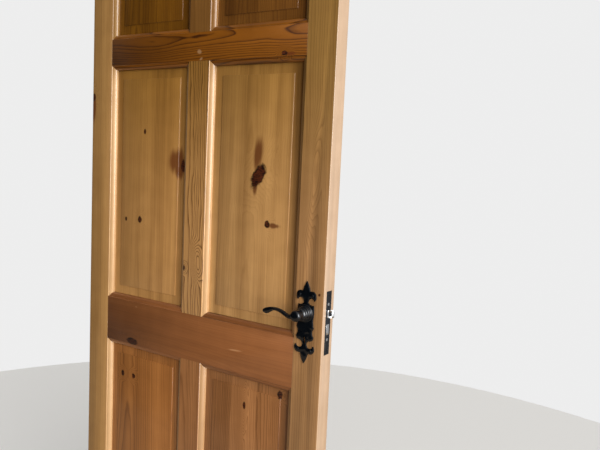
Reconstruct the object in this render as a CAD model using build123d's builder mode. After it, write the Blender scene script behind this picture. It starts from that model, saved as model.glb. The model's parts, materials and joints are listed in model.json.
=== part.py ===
from build123d import *
from math import cos, radians, sin
import os

# Six-panel pine door leaf with butt hinges, lever handles and a mortise sashlock.
# Millimetres. X runs from the hinge edge to the lock edge, Y from the front face to the back
# face, Z up. The origin is under the middle of the whole part, at the foot of the leaf.

os.makedirs("parts", exist_ok=True)

# Leaf
leaf_width = 762.0
leaf_height = 1981.0
leaf_thickness = 44.0
edge_rounding = 1.5

# Widths of the flat faces of the frame members, between the arrises of their mouldings
stile_face = 73.5
mullion_face = 64.4
bottom_rail_face = 200.0
lock_rail_face = 117.4
frieze_rail_face = 67.5
top_rail_face = 102.0

# Shares of the height left between the rails that the lower two rows of panels take
bottom_opening_share = 0.415367
middle_opening_share = 0.417308

# Moulding run on every edge that meets a panel
moulding_width = 13.0
moulding_depth = 13.0
arris_chamfer = 1.2
quirk_depth = 2.5
quirk_width = 2.5
panel_groove_depth = 10.0
shoulder_chamfer = 0.8
flats_per_arc = 3

# Tenons that hold the frame together
tenon_length = 45.0
mullion_tenon_length = 24.0
tenon_set_back = 18.0
tenon_end_gap = 1.0

# Raised and fielded panels
panel_margin = 23.0
field_step = 2.0
margin_rise = 0.5
panel_side_gap = 1.5

# Butt hinges
hinge_height = 100.0
hinge_leaf_width = 38.0
hinge_leaf_thickness = 2.5
hinge_gap = 3.0
hinge_pin_radius = 3.0
knuckle_radius = 5.5
knuckle_count = 3
knuckle_end_gap = 0.3
knuckle_back_gap = 0.5
knuckle_notch_gap = 0.3
pin_running_clearance = 0.06
top_hinge_drop = 150.0
bottom_hinge_rise = 225.0
hinge_hole_inner = 14.0
hinge_hole_outer = 28.0
hinge_hole_far = 38.0
hinge_hole_near = 13.0
hinge_hole_radius = 2.6
hinge_screw_head_radius = 4.6
hinge_screw_radius = 2.2
hinge_screw_length = 25.0

# Lock
spindle_above_lock_rail = 62.0
backset = 44.0
faceplate_height = 144.0
faceplate_width = 22.0
faceplate_thickness = 3.0
faceplate_top_rise = 52.4
case_depth = 64.0
case_thickness = 15.0
case_wall = 1.5
case_front_wall = 3.0
case_end_wall = 2.0
case_top_rise = 32.0
case_bottom_drop = 74.0
case_mortise_gap = 0.3
case_tenon_gap = 6.0
keyhole_drop = 57.0
keyhole_radius = 3.5
keyhole_slot_width = 4.6
keyhole_slot_drop = 11.5
wood_keyhole_clearance = 2.0
spindle_side = 8.0
spindle_chamfer = 0.8
spindle_socket_gap = 0.05
spindle_hole_radius = 10.0
slide_clearance = 0.2

# Latch bolt and its tail
latch_rise = 2.0
latch_height = 17.5
latch_thickness = 11.4
latch_projection = 12.0
latch_nose = 2.0
latch_nose_start = 1.0
latch_head_back = 20.0
latch_riser_back = 22.5
tail_thickness = 3.0
tail_bottom_rise = 11.0
tail_top_rise = 20.0
tail_root = 1.0
latch_bow_share = 0.72
latch_bow_side = 0.05
spring_tab_height = 7.0
spring_tab_reach = 26.5
spring_thickness = 0.6
spring_seat_gap = 0.1
spring_rise = 1.5
spring_width = 5.0
spring_quarter_share = 0.75

# Dead bolt
dead_bolt_top_drop = 22.4
dead_bolt_height = 24.0
dead_bolt_thickness = 11.0
dead_bolt_throw = 14.0
dead_bolt_head_stay = 2.0
dead_bolt_tail_end = 58.0
talon_width = 8.0
talon_height = 6.0

# Follower that the spindle turns
follower_radius = 7.0
follower_running_clearance = 0.06
follower_side_gap = 0.3
horn_reach = 16.6
horn_half_width = 3.0
horn_gap = 0.3

# Faceplate screws
case_screw_rise = 22.7
case_screw_drop = 57.3
case_screw_head_radius = 3.2
case_screw_radius = 1.5
screw_end_gap = 0.2
wood_screw_rise = 42.0
wood_screw_drop = 82.0
wood_screw_head_radius = 3.6
wood_screw_radius = 1.75
wood_screw_length = 22.0

# Backplates
plate_thickness = 3.2
boss_radii = (20.0, 15.5)
boss_steps = (7.5, 14.0)
ring_recess_radius = 14.0
ring_recess_depth = 3.4

# Levers
neck_radius = 9.5
neck_running_clearance = 0.08
neck_start = 1.0
spindle_socket_end = 36.0
hub_radius = 12.5
hub_start = 36.5
hub_foot_chamfer = 2.8
hub_crown_chamfer = 4.5
hub_sides = 20
arm_stand_off = 43.8
arm_lean = 5.0
arm_half_depth = 5.2
arm_thinning = 2.2
arm_bevel = 1.5
hub_end = 49.5
ring_thickness = 1.6
ring_outer_radius = 13.0
ring_sides = 12

# Screws, all of them
screw_sides = 8
screw_head_rim = 0.2

# How far cutting tools run past a form, and how near counts as on a face
cutter_overrun = 1.0
face_tolerance = 0.01

# Derived places
half_thickness = leaf_thickness / 2
pin_offset = hinge_gap / 2
left_reach = pin_offset + knuckle_radius
leaf_left = (left_reach - leaf_width - latch_projection) / 2
leaf_right = leaf_left + leaf_width
left_arris = leaf_left + stile_face
right_arris = leaf_right - stile_face
mullion_left = (left_arris + right_arris - mullion_face) / 2
mullion_right = mullion_left + mullion_face
openings_height = leaf_height - bottom_rail_face - lock_rail_face - frieze_rail_face - top_rail_face
bottom_opening_top = bottom_rail_face + openings_height * bottom_opening_share
middle_opening_bottom = bottom_opening_top + lock_rail_face
middle_opening_top = middle_opening_bottom + openings_height * middle_opening_share
top_opening_bottom = middle_opening_top + frieze_rail_face
top_opening_top = leaf_height - top_rail_face
openings = {
    "bottom": (bottom_rail_face, bottom_opening_top),
    "middle": (middle_opening_bottom, middle_opening_top),
    "top": (top_opening_bottom, top_opening_top),
}
columns = {"left": (left_arris, mullion_left), "right": (mullion_right, right_arris)}
groove_width = leaf_thickness - 2 * moulding_depth
past_moulding = moulding_width + cutter_overrun
spindle_x = leaf_right - backset
spindle_height = middle_opening_bottom + spindle_above_lock_rail


def save(piece, name):
    piece.label = name
    export_step(piece, f"parts/{name}.step")


def flats(start, middle, end):
    """Corners of the short flats that stand for an arc through three points."""
    arc = ThreePointArc(start, middle, end, mode=Mode.PRIVATE)
    return [arc @ (step / flats_per_arc) for step in range(flats_per_arc + 1)]


def member_section(face, both_edges=False):
    """Section from local x = 0 to the moulded edge, mirrored where both edges are moulded."""
    with BuildSketch() as section:
        with BuildLine():
            for side in (-1, 1):
                arc_start = (face + quirk_width, side * (half_thickness - quirk_depth))
                arc_end = (face + moulding_width, side * (half_thickness - moulding_depth))
                Polyline(
                    (0, 0),
                    (0, side * half_thickness),
                    (face, side * half_thickness),
                    (face + arris_chamfer, side * (half_thickness - arris_chamfer)),
                    (face + arris_chamfer, side * (half_thickness - quirk_depth)),
                    arc_start,
                )
                arc_middle = (
                    arc_end[0] - (moulding_width - quirk_width) * (1 - cos(radians(45))),
                    arc_start[1] - side * (moulding_depth - quirk_depth) * (1 - sin(radians(45))),
                )
                Polyline(*flats(arc_start, arc_middle, arc_end))
                Polyline(
                    arc_end,
                    (face + moulding_width - panel_groove_depth, side * groove_width / 2),
                    (face + moulding_width - panel_groove_depth, 0),
                )
        make_face()
        if both_edges:
            mirror(about=Plane.YZ)
    return section.sketch


def cut_through(*points):
    """Cuts an outline drawn on the front face through the whole thickness."""
    with BuildSketch(Plane.XZ) as outline:
        Polygon(*points, align=None)
    extrude(outline.sketch, amount=leaf_thickness, both=True, mode=Mode.SUBTRACT)


def tenon(centre_x, centre_z, width, height, grow=Mode.ADD):
    with Locations((centre_x, 0, centre_z)):
        Box(width, groove_width, height, mode=grow)


def on_a_face(edges):
    """The edges that lie on the front or back face of the leaf."""
    return [edge for edge in edges if abs(edge.center().Y) > half_thickness - face_tolerance]


def soften_outer_edges(stile, edge_x):
    """Rounds the two long edges of the leaf at one side."""
    edges = stile.edges().filter_by_position(
        Axis.X, edge_x - face_tolerance, edge_x + face_tolerance
    )
    fillet(on_a_face(edges), edge_rounding)


# Lower and upper arris of each rail, and the levels of its tenon, which clears the lock case
lock_tenon_top = spindle_height - case_bottom_drop - case_tenon_gap
rails = {
    "bottom_rail": (0.0, bottom_rail_face, tenon_set_back, bottom_rail_face - tenon_set_back),
    "lock_rail": (
        bottom_opening_top,
        middle_opening_bottom,
        bottom_opening_top + tenon_set_back,
        lock_tenon_top,
    ),
    "frieze_rail": (
        middle_opening_top,
        top_opening_bottom,
        middle_opening_top + tenon_set_back,
        top_opening_bottom - tenon_set_back,
    ),
    "top_rail": (
        top_opening_top,
        leaf_height,
        top_opening_top + tenon_set_back,
        leaf_height - tenon_set_back,
    ),
}


def cut_stile_joints(arris, inward):
    """Mitres the moulding away behind each rail and cuts the rail's mortise."""
    mortise = tenon_length + tenon_end_gap
    for low, high, tenon_foot, tenon_head in rails.values():
        cut_through(
            (arris, low),
            (arris + inward * past_moulding, low - past_moulding),
            (arris + inward * past_moulding, high + past_moulding),
            (arris, high),
        )
        tenon(
            arris - inward * mortise / 2,
            (tenon_foot + tenon_head) / 2,
            mortise,
            tenon_head - tenon_foot,
            Mode.SUBTRACT,
        )


def screw_head(head, head_radius, shank_radius):
    """Countersunk head with its face on a plane. Screws are many-sided, not round."""
    with BuildPart() as form:
        with BuildSketch(head):
            RegularPolygon(head_radius, screw_sides, major_radius=False)
        extrude(amount=shank_radius - head_radius - screw_head_rim)
        foot = form.faces().sort_by(Axis(head.origin, head.z_dir))[0]
        chamfer(foot.edges(), head_radius - shank_radius)
    return form.part


def countersunk_screw(head, head_radius, shank_radius, length):
    """Countersunk screw with its head flush with a plane."""
    with BuildPart() as form:
        add(screw_head(head, head_radius, shank_radius))
        with BuildSketch(head):
            RegularPolygon(shank_radius, screw_sides, major_radius=False)
        extrude(amount=-length)
    return form.part


# Screws. Each set is also the tool that cuts its holes in the pieces it passes through.
hinge_centres = {
    "bottom": bottom_hinge_rise + hinge_height / 2,
    "middle": (bottom_hinge_rise + leaf_height - top_hinge_drop) / 2,
    "top": leaf_height - top_hinge_drop - hinge_height / 2,
}
pin_x = leaf_left - pin_offset
pin_y = half_thickness + knuckle_back_gap + knuckle_radius
hinge_holes = (
    (hinge_hole_inner, hinge_hole_far),
    (hinge_hole_outer, hinge_hole_near),
    (hinge_hole_inner, -hinge_hole_near),
    (hinge_hole_outer, -hinge_hole_far),
)

with BuildPart() as hinge_screws:
    for centre in hinge_centres.values():
        for across, up in hinge_holes:
            head = Plane((leaf_left, pin_y - across, centre + up), z_dir=(-1, 0, 0))
            add(
                countersunk_screw(
                    head, hinge_screw_head_radius, hinge_screw_radius, hinge_screw_length
                )
            )
save(hinge_screws.part, "hinge_screws")



def lock_edge_screws(rises, head_radius, shank_radius, length):
    """Screws through the lock's faceplate, at heights counted from the spindle."""
    with BuildPart() as screws:
        for rise in rises:
            head = Plane((leaf_right, 0, spindle_height + rise), z_dir=(1, 0, 0))
            add(countersunk_screw(head, head_radius, shank_radius, length))
    return screws.part


case_screws = lock_edge_screws(
    (case_screw_rise, -case_screw_drop),
    case_screw_head_radius,
    case_screw_radius,
    faceplate_thickness + case_front_wall - screw_end_gap,
)
save(case_screws, "faceplate_case_screws")

wood_screws = lock_edge_screws(
    (wood_screw_rise, -wood_screw_drop),
    wood_screw_head_radius,
    wood_screw_radius,
    wood_screw_length,
)
save(wood_screws, "faceplate_wood_screws")

# Hinge stile
with BuildPart() as hinge_stile:
    with BuildSketch(Plane((leaf_left, 0, 0), x_dir=(1, 0, 0), z_dir=(0, 0, 1))):
        add(member_section(stile_face))
    extrude(amount=leaf_height)
    cut_stile_joints(left_arris, 1)
    soften_outer_edges(hinge_stile, leaf_left)
    rebate_end = pin_y - hinge_leaf_width
    for centre in hinge_centres.values():
        rebate_x = leaf_left + hinge_leaf_thickness / 2
        with Locations((rebate_x, (rebate_end + half_thickness) / 2, centre)):
            Box(
                hinge_leaf_thickness,
                half_thickness - rebate_end,
                hinge_height,
                mode=Mode.SUBTRACT,
            )
    add(hinge_screws.part, mode=Mode.SUBTRACT)
save(hinge_stile.part, "hinge_stile")


def faceplate_outline():
    """Outline of the lock's faceplate, on a plane across the lock edge."""
    with Locations((0, spindle_height + faceplate_top_rise - faceplate_height / 2)):
        Rectangle(faceplate_width, faceplate_height)


def keyhole_outline():
    """Round barrel with a slot below it, on a plane parallel to the leaf."""
    with Locations((spindle_x, spindle_height - keyhole_drop)):
        Circle(keyhole_radius)
    with Locations((spindle_x, spindle_height - keyhole_drop - keyhole_slot_drop / 2)):
        Rectangle(keyhole_slot_width, keyhole_slot_drop)


def lock_edge_plane(depth):
    """Plane across the lock edge, local x along Y and local y up, facing out of the edge."""
    return Plane((leaf_right - depth, 0, 0), x_dir=(0, 1, 0), z_dir=(1, 0, 0))


# Lock stile
with BuildPart() as lock_stile:
    with BuildSketch(Plane((leaf_right, 0, 0), x_dir=(-1, 0, 0), z_dir=(0, 0, 1))):
        add(member_section(stile_face))
    extrude(amount=leaf_height)
    cut_stile_joints(right_arris, -1)
    soften_outer_edges(lock_stile, leaf_right)
    with BuildSketch(lock_edge_plane(0)):
        faceplate_outline()
    extrude(amount=-faceplate_thickness, mode=Mode.SUBTRACT)
    case_middle = spindle_height + (case_top_rise - case_bottom_drop) / 2
    case_height = case_top_rise + case_bottom_drop
    with BuildSketch(lock_edge_plane(0)):
        with Locations((0, case_middle)):
            Rectangle(case_thickness + 2 * case_mortise_gap, case_height + 2 * case_mortise_gap)
    extrude(amount=-case_depth - case_mortise_gap, mode=Mode.SUBTRACT)
    with BuildSketch(Plane.XZ):
        with Locations((spindle_x, spindle_height)):
            Circle(spindle_hole_radius)
        wood_keyhole_top = keyhole_radius + wood_keyhole_clearance
        wood_keyhole_foot = keyhole_slot_drop + wood_keyhole_clearance
        with Locations(
            (spindle_x, spindle_height - keyhole_drop + (wood_keyhole_top - wood_keyhole_foot) / 2)
        ):
            Rectangle(
                keyhole_slot_width + 2 * wood_keyhole_clearance,
                wood_keyhole_top + wood_keyhole_foot,
            )
    extrude(amount=half_thickness, both=True, mode=Mode.SUBTRACT)
    add(wood_screws, mode=Mode.SUBTRACT)
save(lock_stile.part, "lock_stile")

# Rails. Each runs between the arrises of the stiles and carries a tenon at each end.
for name, (low, high, tenon_foot, tenon_head) in rails.items():
    moulded_below = name != "bottom_rail"
    moulded_above = name != "top_rail"
    both = moulded_below and moulded_above
    if both:
        base, up, face = (low + high) / 2, 1, (high - low) / 2
    elif moulded_above:
        base, up, face = low, 1, high - low
    else:
        base, up, face = high, -1, high - low
    with BuildPart() as rail:
        with BuildSketch(Plane((left_arris, 0, base), x_dir=(0, 0, up), z_dir=(1, 0, 0))):
            add(member_section(face, both))
        extrude(amount=right_arris - left_arris)
        for edge, outward, moulded in ((low, -1, moulded_below), (high, 1, moulded_above)):
            if not moulded:
                continue
            deep = edge + outward * past_moulding
            for arris, inward in ((left_arris, 1), (right_arris, -1)):
                cut_through((arris, edge), (arris, deep), (arris + inward * past_moulding, deep))
            cut_through(
                (mullion_left, edge),
                (mullion_left - past_moulding, deep),
                (mullion_right + past_moulding, deep),
                (mullion_right, edge),
            )
            depth = mullion_tenon_length + tenon_end_gap
            tenon(
                (mullion_left + mullion_right) / 2,
                edge - outward * depth / 2,
                mullion_face - 2 * tenon_set_back,
                depth,
                Mode.SUBTRACT,
            )
        chamfer(on_a_face(rail.edges().filter_by(Axis.Z)), shoulder_chamfer)
        for arris, outward in ((left_arris, -1), (right_arris, 1)):
            tenon(
                arris + outward * tenon_length / 2,
                (tenon_foot + tenon_head) / 2,
                tenon_length,
                tenon_head - tenon_foot,
            )
    save(rail.part, name)

# Mullions. Each stands between two rails, with a tenon at its head and foot.
for row, (low, high) in openings.items():
    centre_x = (mullion_left + mullion_right) / 2
    with BuildPart() as mullion:
        with BuildSketch(Plane((centre_x, 0, low), x_dir=(1, 0, 0), z_dir=(0, 0, 1))):
            add(member_section(mullion_face / 2, both_edges=True))
        extrude(amount=high - low)
        for arris, outward in ((mullion_left, -1), (mullion_right, 1)):
            deep = arris + outward * past_moulding
            cut_through((arris, low), (deep, low), (deep, low + past_moulding))
            cut_through((arris, high), (deep, high), (deep, high - past_moulding))
        for end, outward in ((low, -1), (high, 1)):
            tenon(
                centre_x,
                end + outward * mullion_tenon_length / 2,
                mullion_face - 2 * tenon_set_back,
                mullion_tenon_length,
            )
    save(mullion.part, f"{row}_mullion")

# Panels. The tongue fills the groove, the margin rises slightly to the step of the field.
for row, (low, high) in openings.items():
    for column, (left, right) in columns.items():
        sight_width = right - left - 2 * moulding_width
        sight_height = high - low - 2 * moulding_width
        tongue = panel_groove_depth - panel_side_gap
        centre = ((left + right) / 2, 0, (low + high) / 2)
        field_width = sight_width - 2 * panel_margin
        field_height = sight_height - 2 * panel_margin
        with BuildPart() as panel:
            with Locations(centre):
                Box(sight_width + 2 * tongue, groove_width, sight_height + 2 * tongue)
                Box(
                    field_width,
                    groove_width + 2 * (margin_rise + field_step),
                    field_height,
                )
            for outward, turn in ((-1, 180), (1, 0)):
                margin_middle = outward * (groove_width + margin_rise) / 2
                with Locations((centre[0], margin_middle, centre[2])):
                    Wedge(
                        sight_width,
                        margin_rise,
                        sight_height,
                        panel_margin,
                        panel_margin,
                        sight_width - panel_margin,
                        sight_height - panel_margin,
                        rotation=(turn, 0, 0),
                    )
        save(panel.part, f"{row}_{column}_panel")


# Hinges
leaf_edge = pin_y - knuckle_radius - knuckle_notch_gap
knuckle_pitch = hinge_height / knuckle_count


def knuckle_zones(centre, first):
    """Lower end of every second knuckle, from the first one that belongs to the leaf."""
    return [
        centre - hinge_height / 2 + index * knuckle_pitch
        for index in range(first, knuckle_count, 2)
    ]


def hinge_leaf(centre, side, first):
    """One leaf: side is 1 for the leaf on the door and -1 for the leaf on the jamb."""
    inner = pin_x + side * pin_offset
    outer = inner + side * hinge_leaf_thickness
    plate_end = pin_y - hinge_leaf_width
    with BuildSketch(Plane.XY.offset(centre - hinge_height / 2)) as plate:
        Polygon(
            (inner, plate_end), (outer, plate_end), (outer, leaf_edge), (inner, leaf_edge), align=None
        )
    extrude(plate.sketch, amount=hinge_height)
    for zone in knuckle_zones(centre, first):
        with BuildSketch(Plane.XY.offset(zone + knuckle_end_gap / 2)) as knuckle:
            Polygon(
                (inner, leaf_edge), (outer, leaf_edge), (outer, pin_y), (inner, pin_y), align=None
            )
            with Locations((pin_x, pin_y)):
                Circle(knuckle_radius)
        extrude(knuckle.sketch, amount=knuckle_pitch - knuckle_end_gap)


# Door-side leaves turn on the pins, which are fast in the jamb-side leaves
for row, centre in hinge_centres.items():
    with BuildPart() as door_leaf:
        hinge_leaf(centre, 1, 1)
        with Locations((pin_x, pin_y, centre)):
            Cylinder(hinge_pin_radius + pin_running_clearance, hinge_height, mode=Mode.SUBTRACT)
        add(hinge_screws.part, mode=Mode.SUBTRACT)
    save(door_leaf.part, f"{row}_hinge_door_leaf")
    with BuildPart() as jamb_leaf:
        hinge_leaf(centre, -1, 0)
        with Locations((pin_x, pin_y, centre)):
            Cylinder(hinge_pin_radius, hinge_height - knuckle_end_gap)
        for across, up in hinge_holes:
            head = Plane((pin_x - pin_offset, pin_y - across, centre + up), z_dir=(1, 0, 0))
            foot_radius = hinge_hole_radius + screw_head_rim
            add(screw_head(head, hinge_screw_head_radius, foot_radius), mode=Mode.SUBTRACT)
            with Locations(head):
                Cylinder(hinge_hole_radius, 2 * hinge_leaf_thickness, mode=Mode.SUBTRACT)
    save(jamb_leaf.part, f"{row}_hinge_jamb_leaf")

# Lock case, open on the back, with a cap that closes it
case_front = faceplate_thickness
inner_front = case_front + case_front_wall
inner_back = case_depth - case_end_wall
inner_half = case_thickness / 2 - case_wall
latch_centre = spindle_height + latch_rise
dead_bolt_centre = spindle_height - dead_bolt_top_drop - dead_bolt_height / 2


def lock_box(near, far, low_y, high_y, low_z, high_z, mode=Mode.ADD):
    """Box from one depth behind the lock edge to another, heights counted from the spindle."""
    with Locations(
        (leaf_right - (near + far) / 2, (low_y + high_y) / 2, spindle_height + (low_z + high_z) / 2)
    ):
        Box(far - near, high_y - low_y, high_z - low_z, mode=mode)


def bolt_openings(clearance):
    """Outlines of the latch and the dead bolt on a plane across the lock edge."""
    with Locations((0, latch_centre)):
        Rectangle(latch_thickness + 2 * clearance, latch_height + 2 * clearance)
    with Locations((0, dead_bolt_centre)):
        Rectangle(dead_bolt_thickness + 2 * clearance, dead_bolt_height + 2 * clearance)


with BuildPart() as lock_case:
    lock_box(
        case_front, case_depth, -case_thickness / 2, inner_half, -case_bottom_drop, case_top_rise
    )
    lock_box(
        inner_front,
        inner_back,
        -inner_half,
        inner_half,
        case_end_wall - case_bottom_drop,
        case_top_rise - case_end_wall,
        Mode.SUBTRACT,
    )
    with BuildSketch(lock_edge_plane(0)):
        bolt_openings(slide_clearance)
    extrude(amount=-inner_front, mode=Mode.SUBTRACT)
    add(case_screws, mode=Mode.SUBTRACT)
    with BuildSketch(Plane.XZ.offset(inner_half)):
        with Locations((spindle_x, spindle_height)):
            Circle(follower_radius + follower_running_clearance)
        keyhole_outline()
    extrude(amount=case_wall, mode=Mode.SUBTRACT)
save(lock_case.part, "lock_case")

with BuildPart() as lock_cap:
    lock_box(
        case_front,
        case_depth,
        inner_half,
        case_thickness / 2,
        -case_bottom_drop,
        case_top_rise,
    )
    with BuildSketch(Plane.XZ.offset(-inner_half)):
        with Locations((spindle_x, spindle_height)):
            Circle(follower_radius + follower_running_clearance)
        keyhole_outline()
    extrude(amount=-case_wall, mode=Mode.SUBTRACT)
save(lock_cap.part, "lock_cap")

with BuildPart() as faceplate:
    with BuildSketch(lock_edge_plane(faceplate_thickness)):
        faceplate_outline()
    extrude(amount=faceplate_thickness)
    with BuildSketch(lock_edge_plane(faceplate_thickness)):
        bolt_openings(slide_clearance)
    extrude(amount=faceplate_thickness, mode=Mode.SUBTRACT)
    add(case_screws, mode=Mode.SUBTRACT)
    add(wood_screws, mode=Mode.SUBTRACT)
save(faceplate.part, "lock_faceplate")

# Latch bolt: bevelled head, tail plate over the follower, lug behind the follower's horn
lug_front = backset + horn_half_width + horn_gap
lug_back = lug_front + tail_thickness
tail_low_y = -inner_half + slide_clearance
tail_high_y = tail_low_y + tail_thickness
half_latch = latch_thickness / 2

with BuildPart() as latch_bolt:
    with BuildSketch(Plane.XY.offset(latch_centre - latch_height / 2)):
        with BuildLine():
            front = leaf_right + latch_projection
            Polyline(
                (leaf_right + latch_nose_start, -half_latch),
                (leaf_right - latch_head_back, -half_latch),
                (leaf_right - latch_head_back, half_latch),
                (front, half_latch),
                (front, half_latch - latch_nose),
            )
            ThreePointArc(
                (front, half_latch - latch_nose),
                (leaf_right + latch_projection * latch_bow_share, -half_latch * latch_bow_side),
                (leaf_right + latch_nose_start, -half_latch),
            )
        make_face()
    extrude(amount=latch_height)
    tail_front = latch_head_back - tail_root
    lock_box(tail_front, lug_back, tail_low_y, tail_high_y, tail_bottom_rise, tail_top_rise)
    lock_box(tail_front, latch_riser_back, tail_low_y, tail_high_y, 0, tail_bottom_rise)
    lug_low = horn_reach - horn_half_width
    lock_box(lug_front, lug_back, tail_low_y, inner_half - slide_clearance, lug_low, tail_top_rise)
    lock_box(
        spring_tab_reach,
        spring_tab_reach + tail_thickness,
        tail_low_y,
        tail_high_y,
        tail_bottom_rise,
        tail_top_rise + spring_tab_height,
    )
save(latch_bolt.part, "latch_bolt")

# Bowed strip spring between the back wall of the case and the tab on the latch's tail
with BuildPart() as latch_spring:
    seat_z = spindle_height + tail_top_rise + spring_rise
    back_x = leaf_right - inner_back + spring_thickness + spring_seat_gap
    tab_x = leaf_right - spring_tab_reach - tail_thickness - spring_thickness - spring_seat_gap
    crown_z = spindle_height + case_top_rise - case_end_wall - spring_thickness - spring_seat_gap
    quarter_rise = seat_z + (crown_z - seat_z) * spring_quarter_share
    with BuildSketch(Plane.XZ.offset(-tail_low_y)):
        with BuildLine():
            bow = Polyline(
                (back_x, seat_z),
                (back_x + (tab_x - back_x) / 4, quarter_rise),
                ((back_x + tab_x) / 2, crown_z),
                (tab_x - (tab_x - back_x) / 4, quarter_rise),
                (tab_x, seat_z),
            )
            offset(bow, amount=spring_thickness, side=Side.LEFT)
        make_face()
    extrude(amount=-spring_width)
save(latch_spring.part, "latch_spring")

# Dead bolt, drawn back flush with the faceplate, with a tail that the key's bit moves
with BuildPart() as dead_bolt:
    dead_bolt_head_length = inner_front + dead_bolt_throw + dead_bolt_head_stay
    bolt_low = -dead_bolt_top_drop - dead_bolt_height
    lock_box(
        0,
        dead_bolt_head_length,
        -dead_bolt_thickness / 2,
        dead_bolt_thickness / 2,
        bolt_low,
        -dead_bolt_top_drop,
    )
    lock_box(
        dead_bolt_head_length - tail_root,
        dead_bolt_tail_end,
        tail_low_y,
        tail_high_y,
        bolt_low,
        -dead_bolt_top_drop,
    )
    lock_box(
        backset - talon_width / 2,
        backset + talon_width / 2,
        tail_low_y,
        tail_high_y,
        bolt_low,
        bolt_low + talon_height,
        Mode.SUBTRACT,
    )
save(dead_bolt.part, "dead_bolt")

# Follower: barrel that turns in the case and the cap, with a square hole and a horn
with BuildPart() as follower:
    hub_plane = Plane((spindle_x, 0, spindle_height), x_dir=(1, 0, 0), z_dir=(0, -1, 0))
    hub_half = inner_half - follower_side_gap
    with BuildSketch(hub_plane):
        Circle(follower_radius)
    extrude(amount=case_thickness / 2, both=True)
    with BuildSketch(hub_plane.offset(-hub_half)):
        with Locations((0, horn_reach / 2)):
            Rectangle(2 * horn_half_width, horn_reach)
        with Locations((0, horn_reach)):
            Circle(horn_half_width)
    extrude(amount=hub_half - tail_high_y - follower_side_gap)
    with BuildSketch(hub_plane):
        Rectangle(
            spindle_side + 2 * spindle_socket_gap, spindle_side + 2 * spindle_socket_gap
        )
    extrude(amount=case_thickness, both=True, mode=Mode.SUBTRACT)
save(follower.part, "follower")

with BuildPart() as spindle:
    with Locations((spindle_x, 0, spindle_height)):
        Box(spindle_side, 2 * (half_thickness + spindle_socket_end - neck_start), spindle_side)
    chamfer(spindle.edges().filter_by(Axis.Y, reverse=True), spindle_chamfer)
save(spindle.part, "spindle")

front_plane = Plane(
    (spindle_x, -half_thickness, spindle_height), x_dir=(1, 0, 0), z_dir=(0, -1, 0)
)

# Backplate outline, right half from its upper to its lower tip, counted from the spindle. Each
# row is where a curve starts and a point that it passes through; a lone point starts a straight.
plate_curves = (
    ((0.0, 71.7), (5.9, 60.5)),
    ((9.6, 48.6), (19.5, 48.8)),
    ((25.2, 38.5), (24.9, 32.6)),
    ((21.5, 28.4), (14.4, 33.8)),
    ((6.6, 28.0),),
    ((5.4, 23.4), (11.4, 19.4)),
    ((20.2, 18.6), (21.4, 2.5)),
    ((19.6, -14.0), (20.2, -24.0)),
    ((22.6, -33.0), (18.4, -42.6)),
    ((22.4, -52.5), (20.2, -59.2)),
    ((13.5, -62.0), (8.2, -64.6)),
    ((5.4, -69.5),),
    ((5.4, -71.5), (13.2, -79.4)),
    ((22.2, -72.3), (25.6, -83.0)),
    ((17.5, -91.4),),
    ((10.2, -90.6), (6.6, -102.5)),
    ((0.0, -114.5),),
)


def plate_outline():
    """Fleur-de-lis at each end of a shouldered body with small scallops at its sides."""
    with BuildSketch() as outline:
        with BuildLine():
            for (start, *middle), (end, *_) in zip(plate_curves, plate_curves[1:]):
                if middle:
                    Polyline(*flats(start, middle[0], end))
                else:
                    Line(start, end)
            Line(plate_curves[-1][0], plate_curves[0][0])
        make_face()
        mirror(about=Plane.YZ)
    return outline.sketch


with BuildPart() as front_backplate:
    with BuildSketch(front_plane):
        add(plate_outline())
    extrude(amount=plate_thickness)
    for radius, step in zip(boss_radii, boss_steps):
        with BuildSketch(front_plane):
            Circle(radius)
        extrude(amount=step)
    with BuildSketch(front_plane):
        Circle(neck_radius + neck_running_clearance)
    extrude(amount=max(boss_steps), mode=Mode.SUBTRACT)
    with BuildSketch(front_plane):
        RegularPolygon(ring_recess_radius, ring_sides)
    extrude(amount=ring_recess_depth, mode=Mode.SUBTRACT)
    with BuildSketch(front_plane):
        with Locations((0, -keyhole_drop)):
            Circle(keyhole_radius)
        with Locations((0, -keyhole_drop - keyhole_slot_drop / 2)):
            Rectangle(keyhole_slot_width, keyhole_slot_drop)
    extrude(amount=plate_thickness, mode=Mode.SUBTRACT)
save(front_backplate.part, "front_backplate")

with BuildPart() as rear_backplate:
    mirror(front_backplate.part, about=Plane.XZ)
save(rear_backplate.part, "rear_backplate")

# Lever arm: reach from the spindle, middle line above the spindle, half height
arm_stations = (
    (4.0, -1.5, 6.2),
    (16.0, -3.4, 5.0),
    (25.0, -1.4, 4.8),
    (36.0, 3.0, 4.6),
    (48.0, 5.8, 4.2),
    (60.0, 6.2, 3.9),
    (69.0, 3.4, 5.6),
    (78.0, -0.4, 7.0),
    (87.0, -2.4, 5.8),
    (93.0, -3.0, 2.6),
)


def arm_form():
    """Wavy arm that leans towards the door and thins to its tip, with bevels along its rims."""
    lean = radians(arm_lean)
    middle_plane = Plane(
        (spindle_x, -half_thickness - arm_stand_off, spindle_height),
        x_dir=(-cos(lean), sin(lean), 0),
        z_dir=(sin(lean), cos(lean), 0),
    )
    upper = [(reach, rise + half) for reach, rise, half in arm_stations]
    lower = [(reach, rise - half) for reach, rise, half in reversed(arm_stations)]
    with BuildPart() as form:
        with BuildSketch(middle_plane):
            Polygon(*upper, *lower, align=None)
        extrude(amount=arm_half_depth, both=True)
        for side in (-1, 1):
            outward = middle_plane.z_dir * (side * cos(radians(arm_thinning)))
            outward += middle_plane.x_dir * sin(radians(arm_thinning))
            root = middle_plane.offset(side * arm_half_depth).origin
            split(bisect_by=Plane(root, z_dir=outward), keep=Keep.BOTTOM)
        broad = form.faces().sort_by(SortBy.AREA)[-2:]
        chamfer(broad.edges(), arm_bevel)
    return form.part


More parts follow.
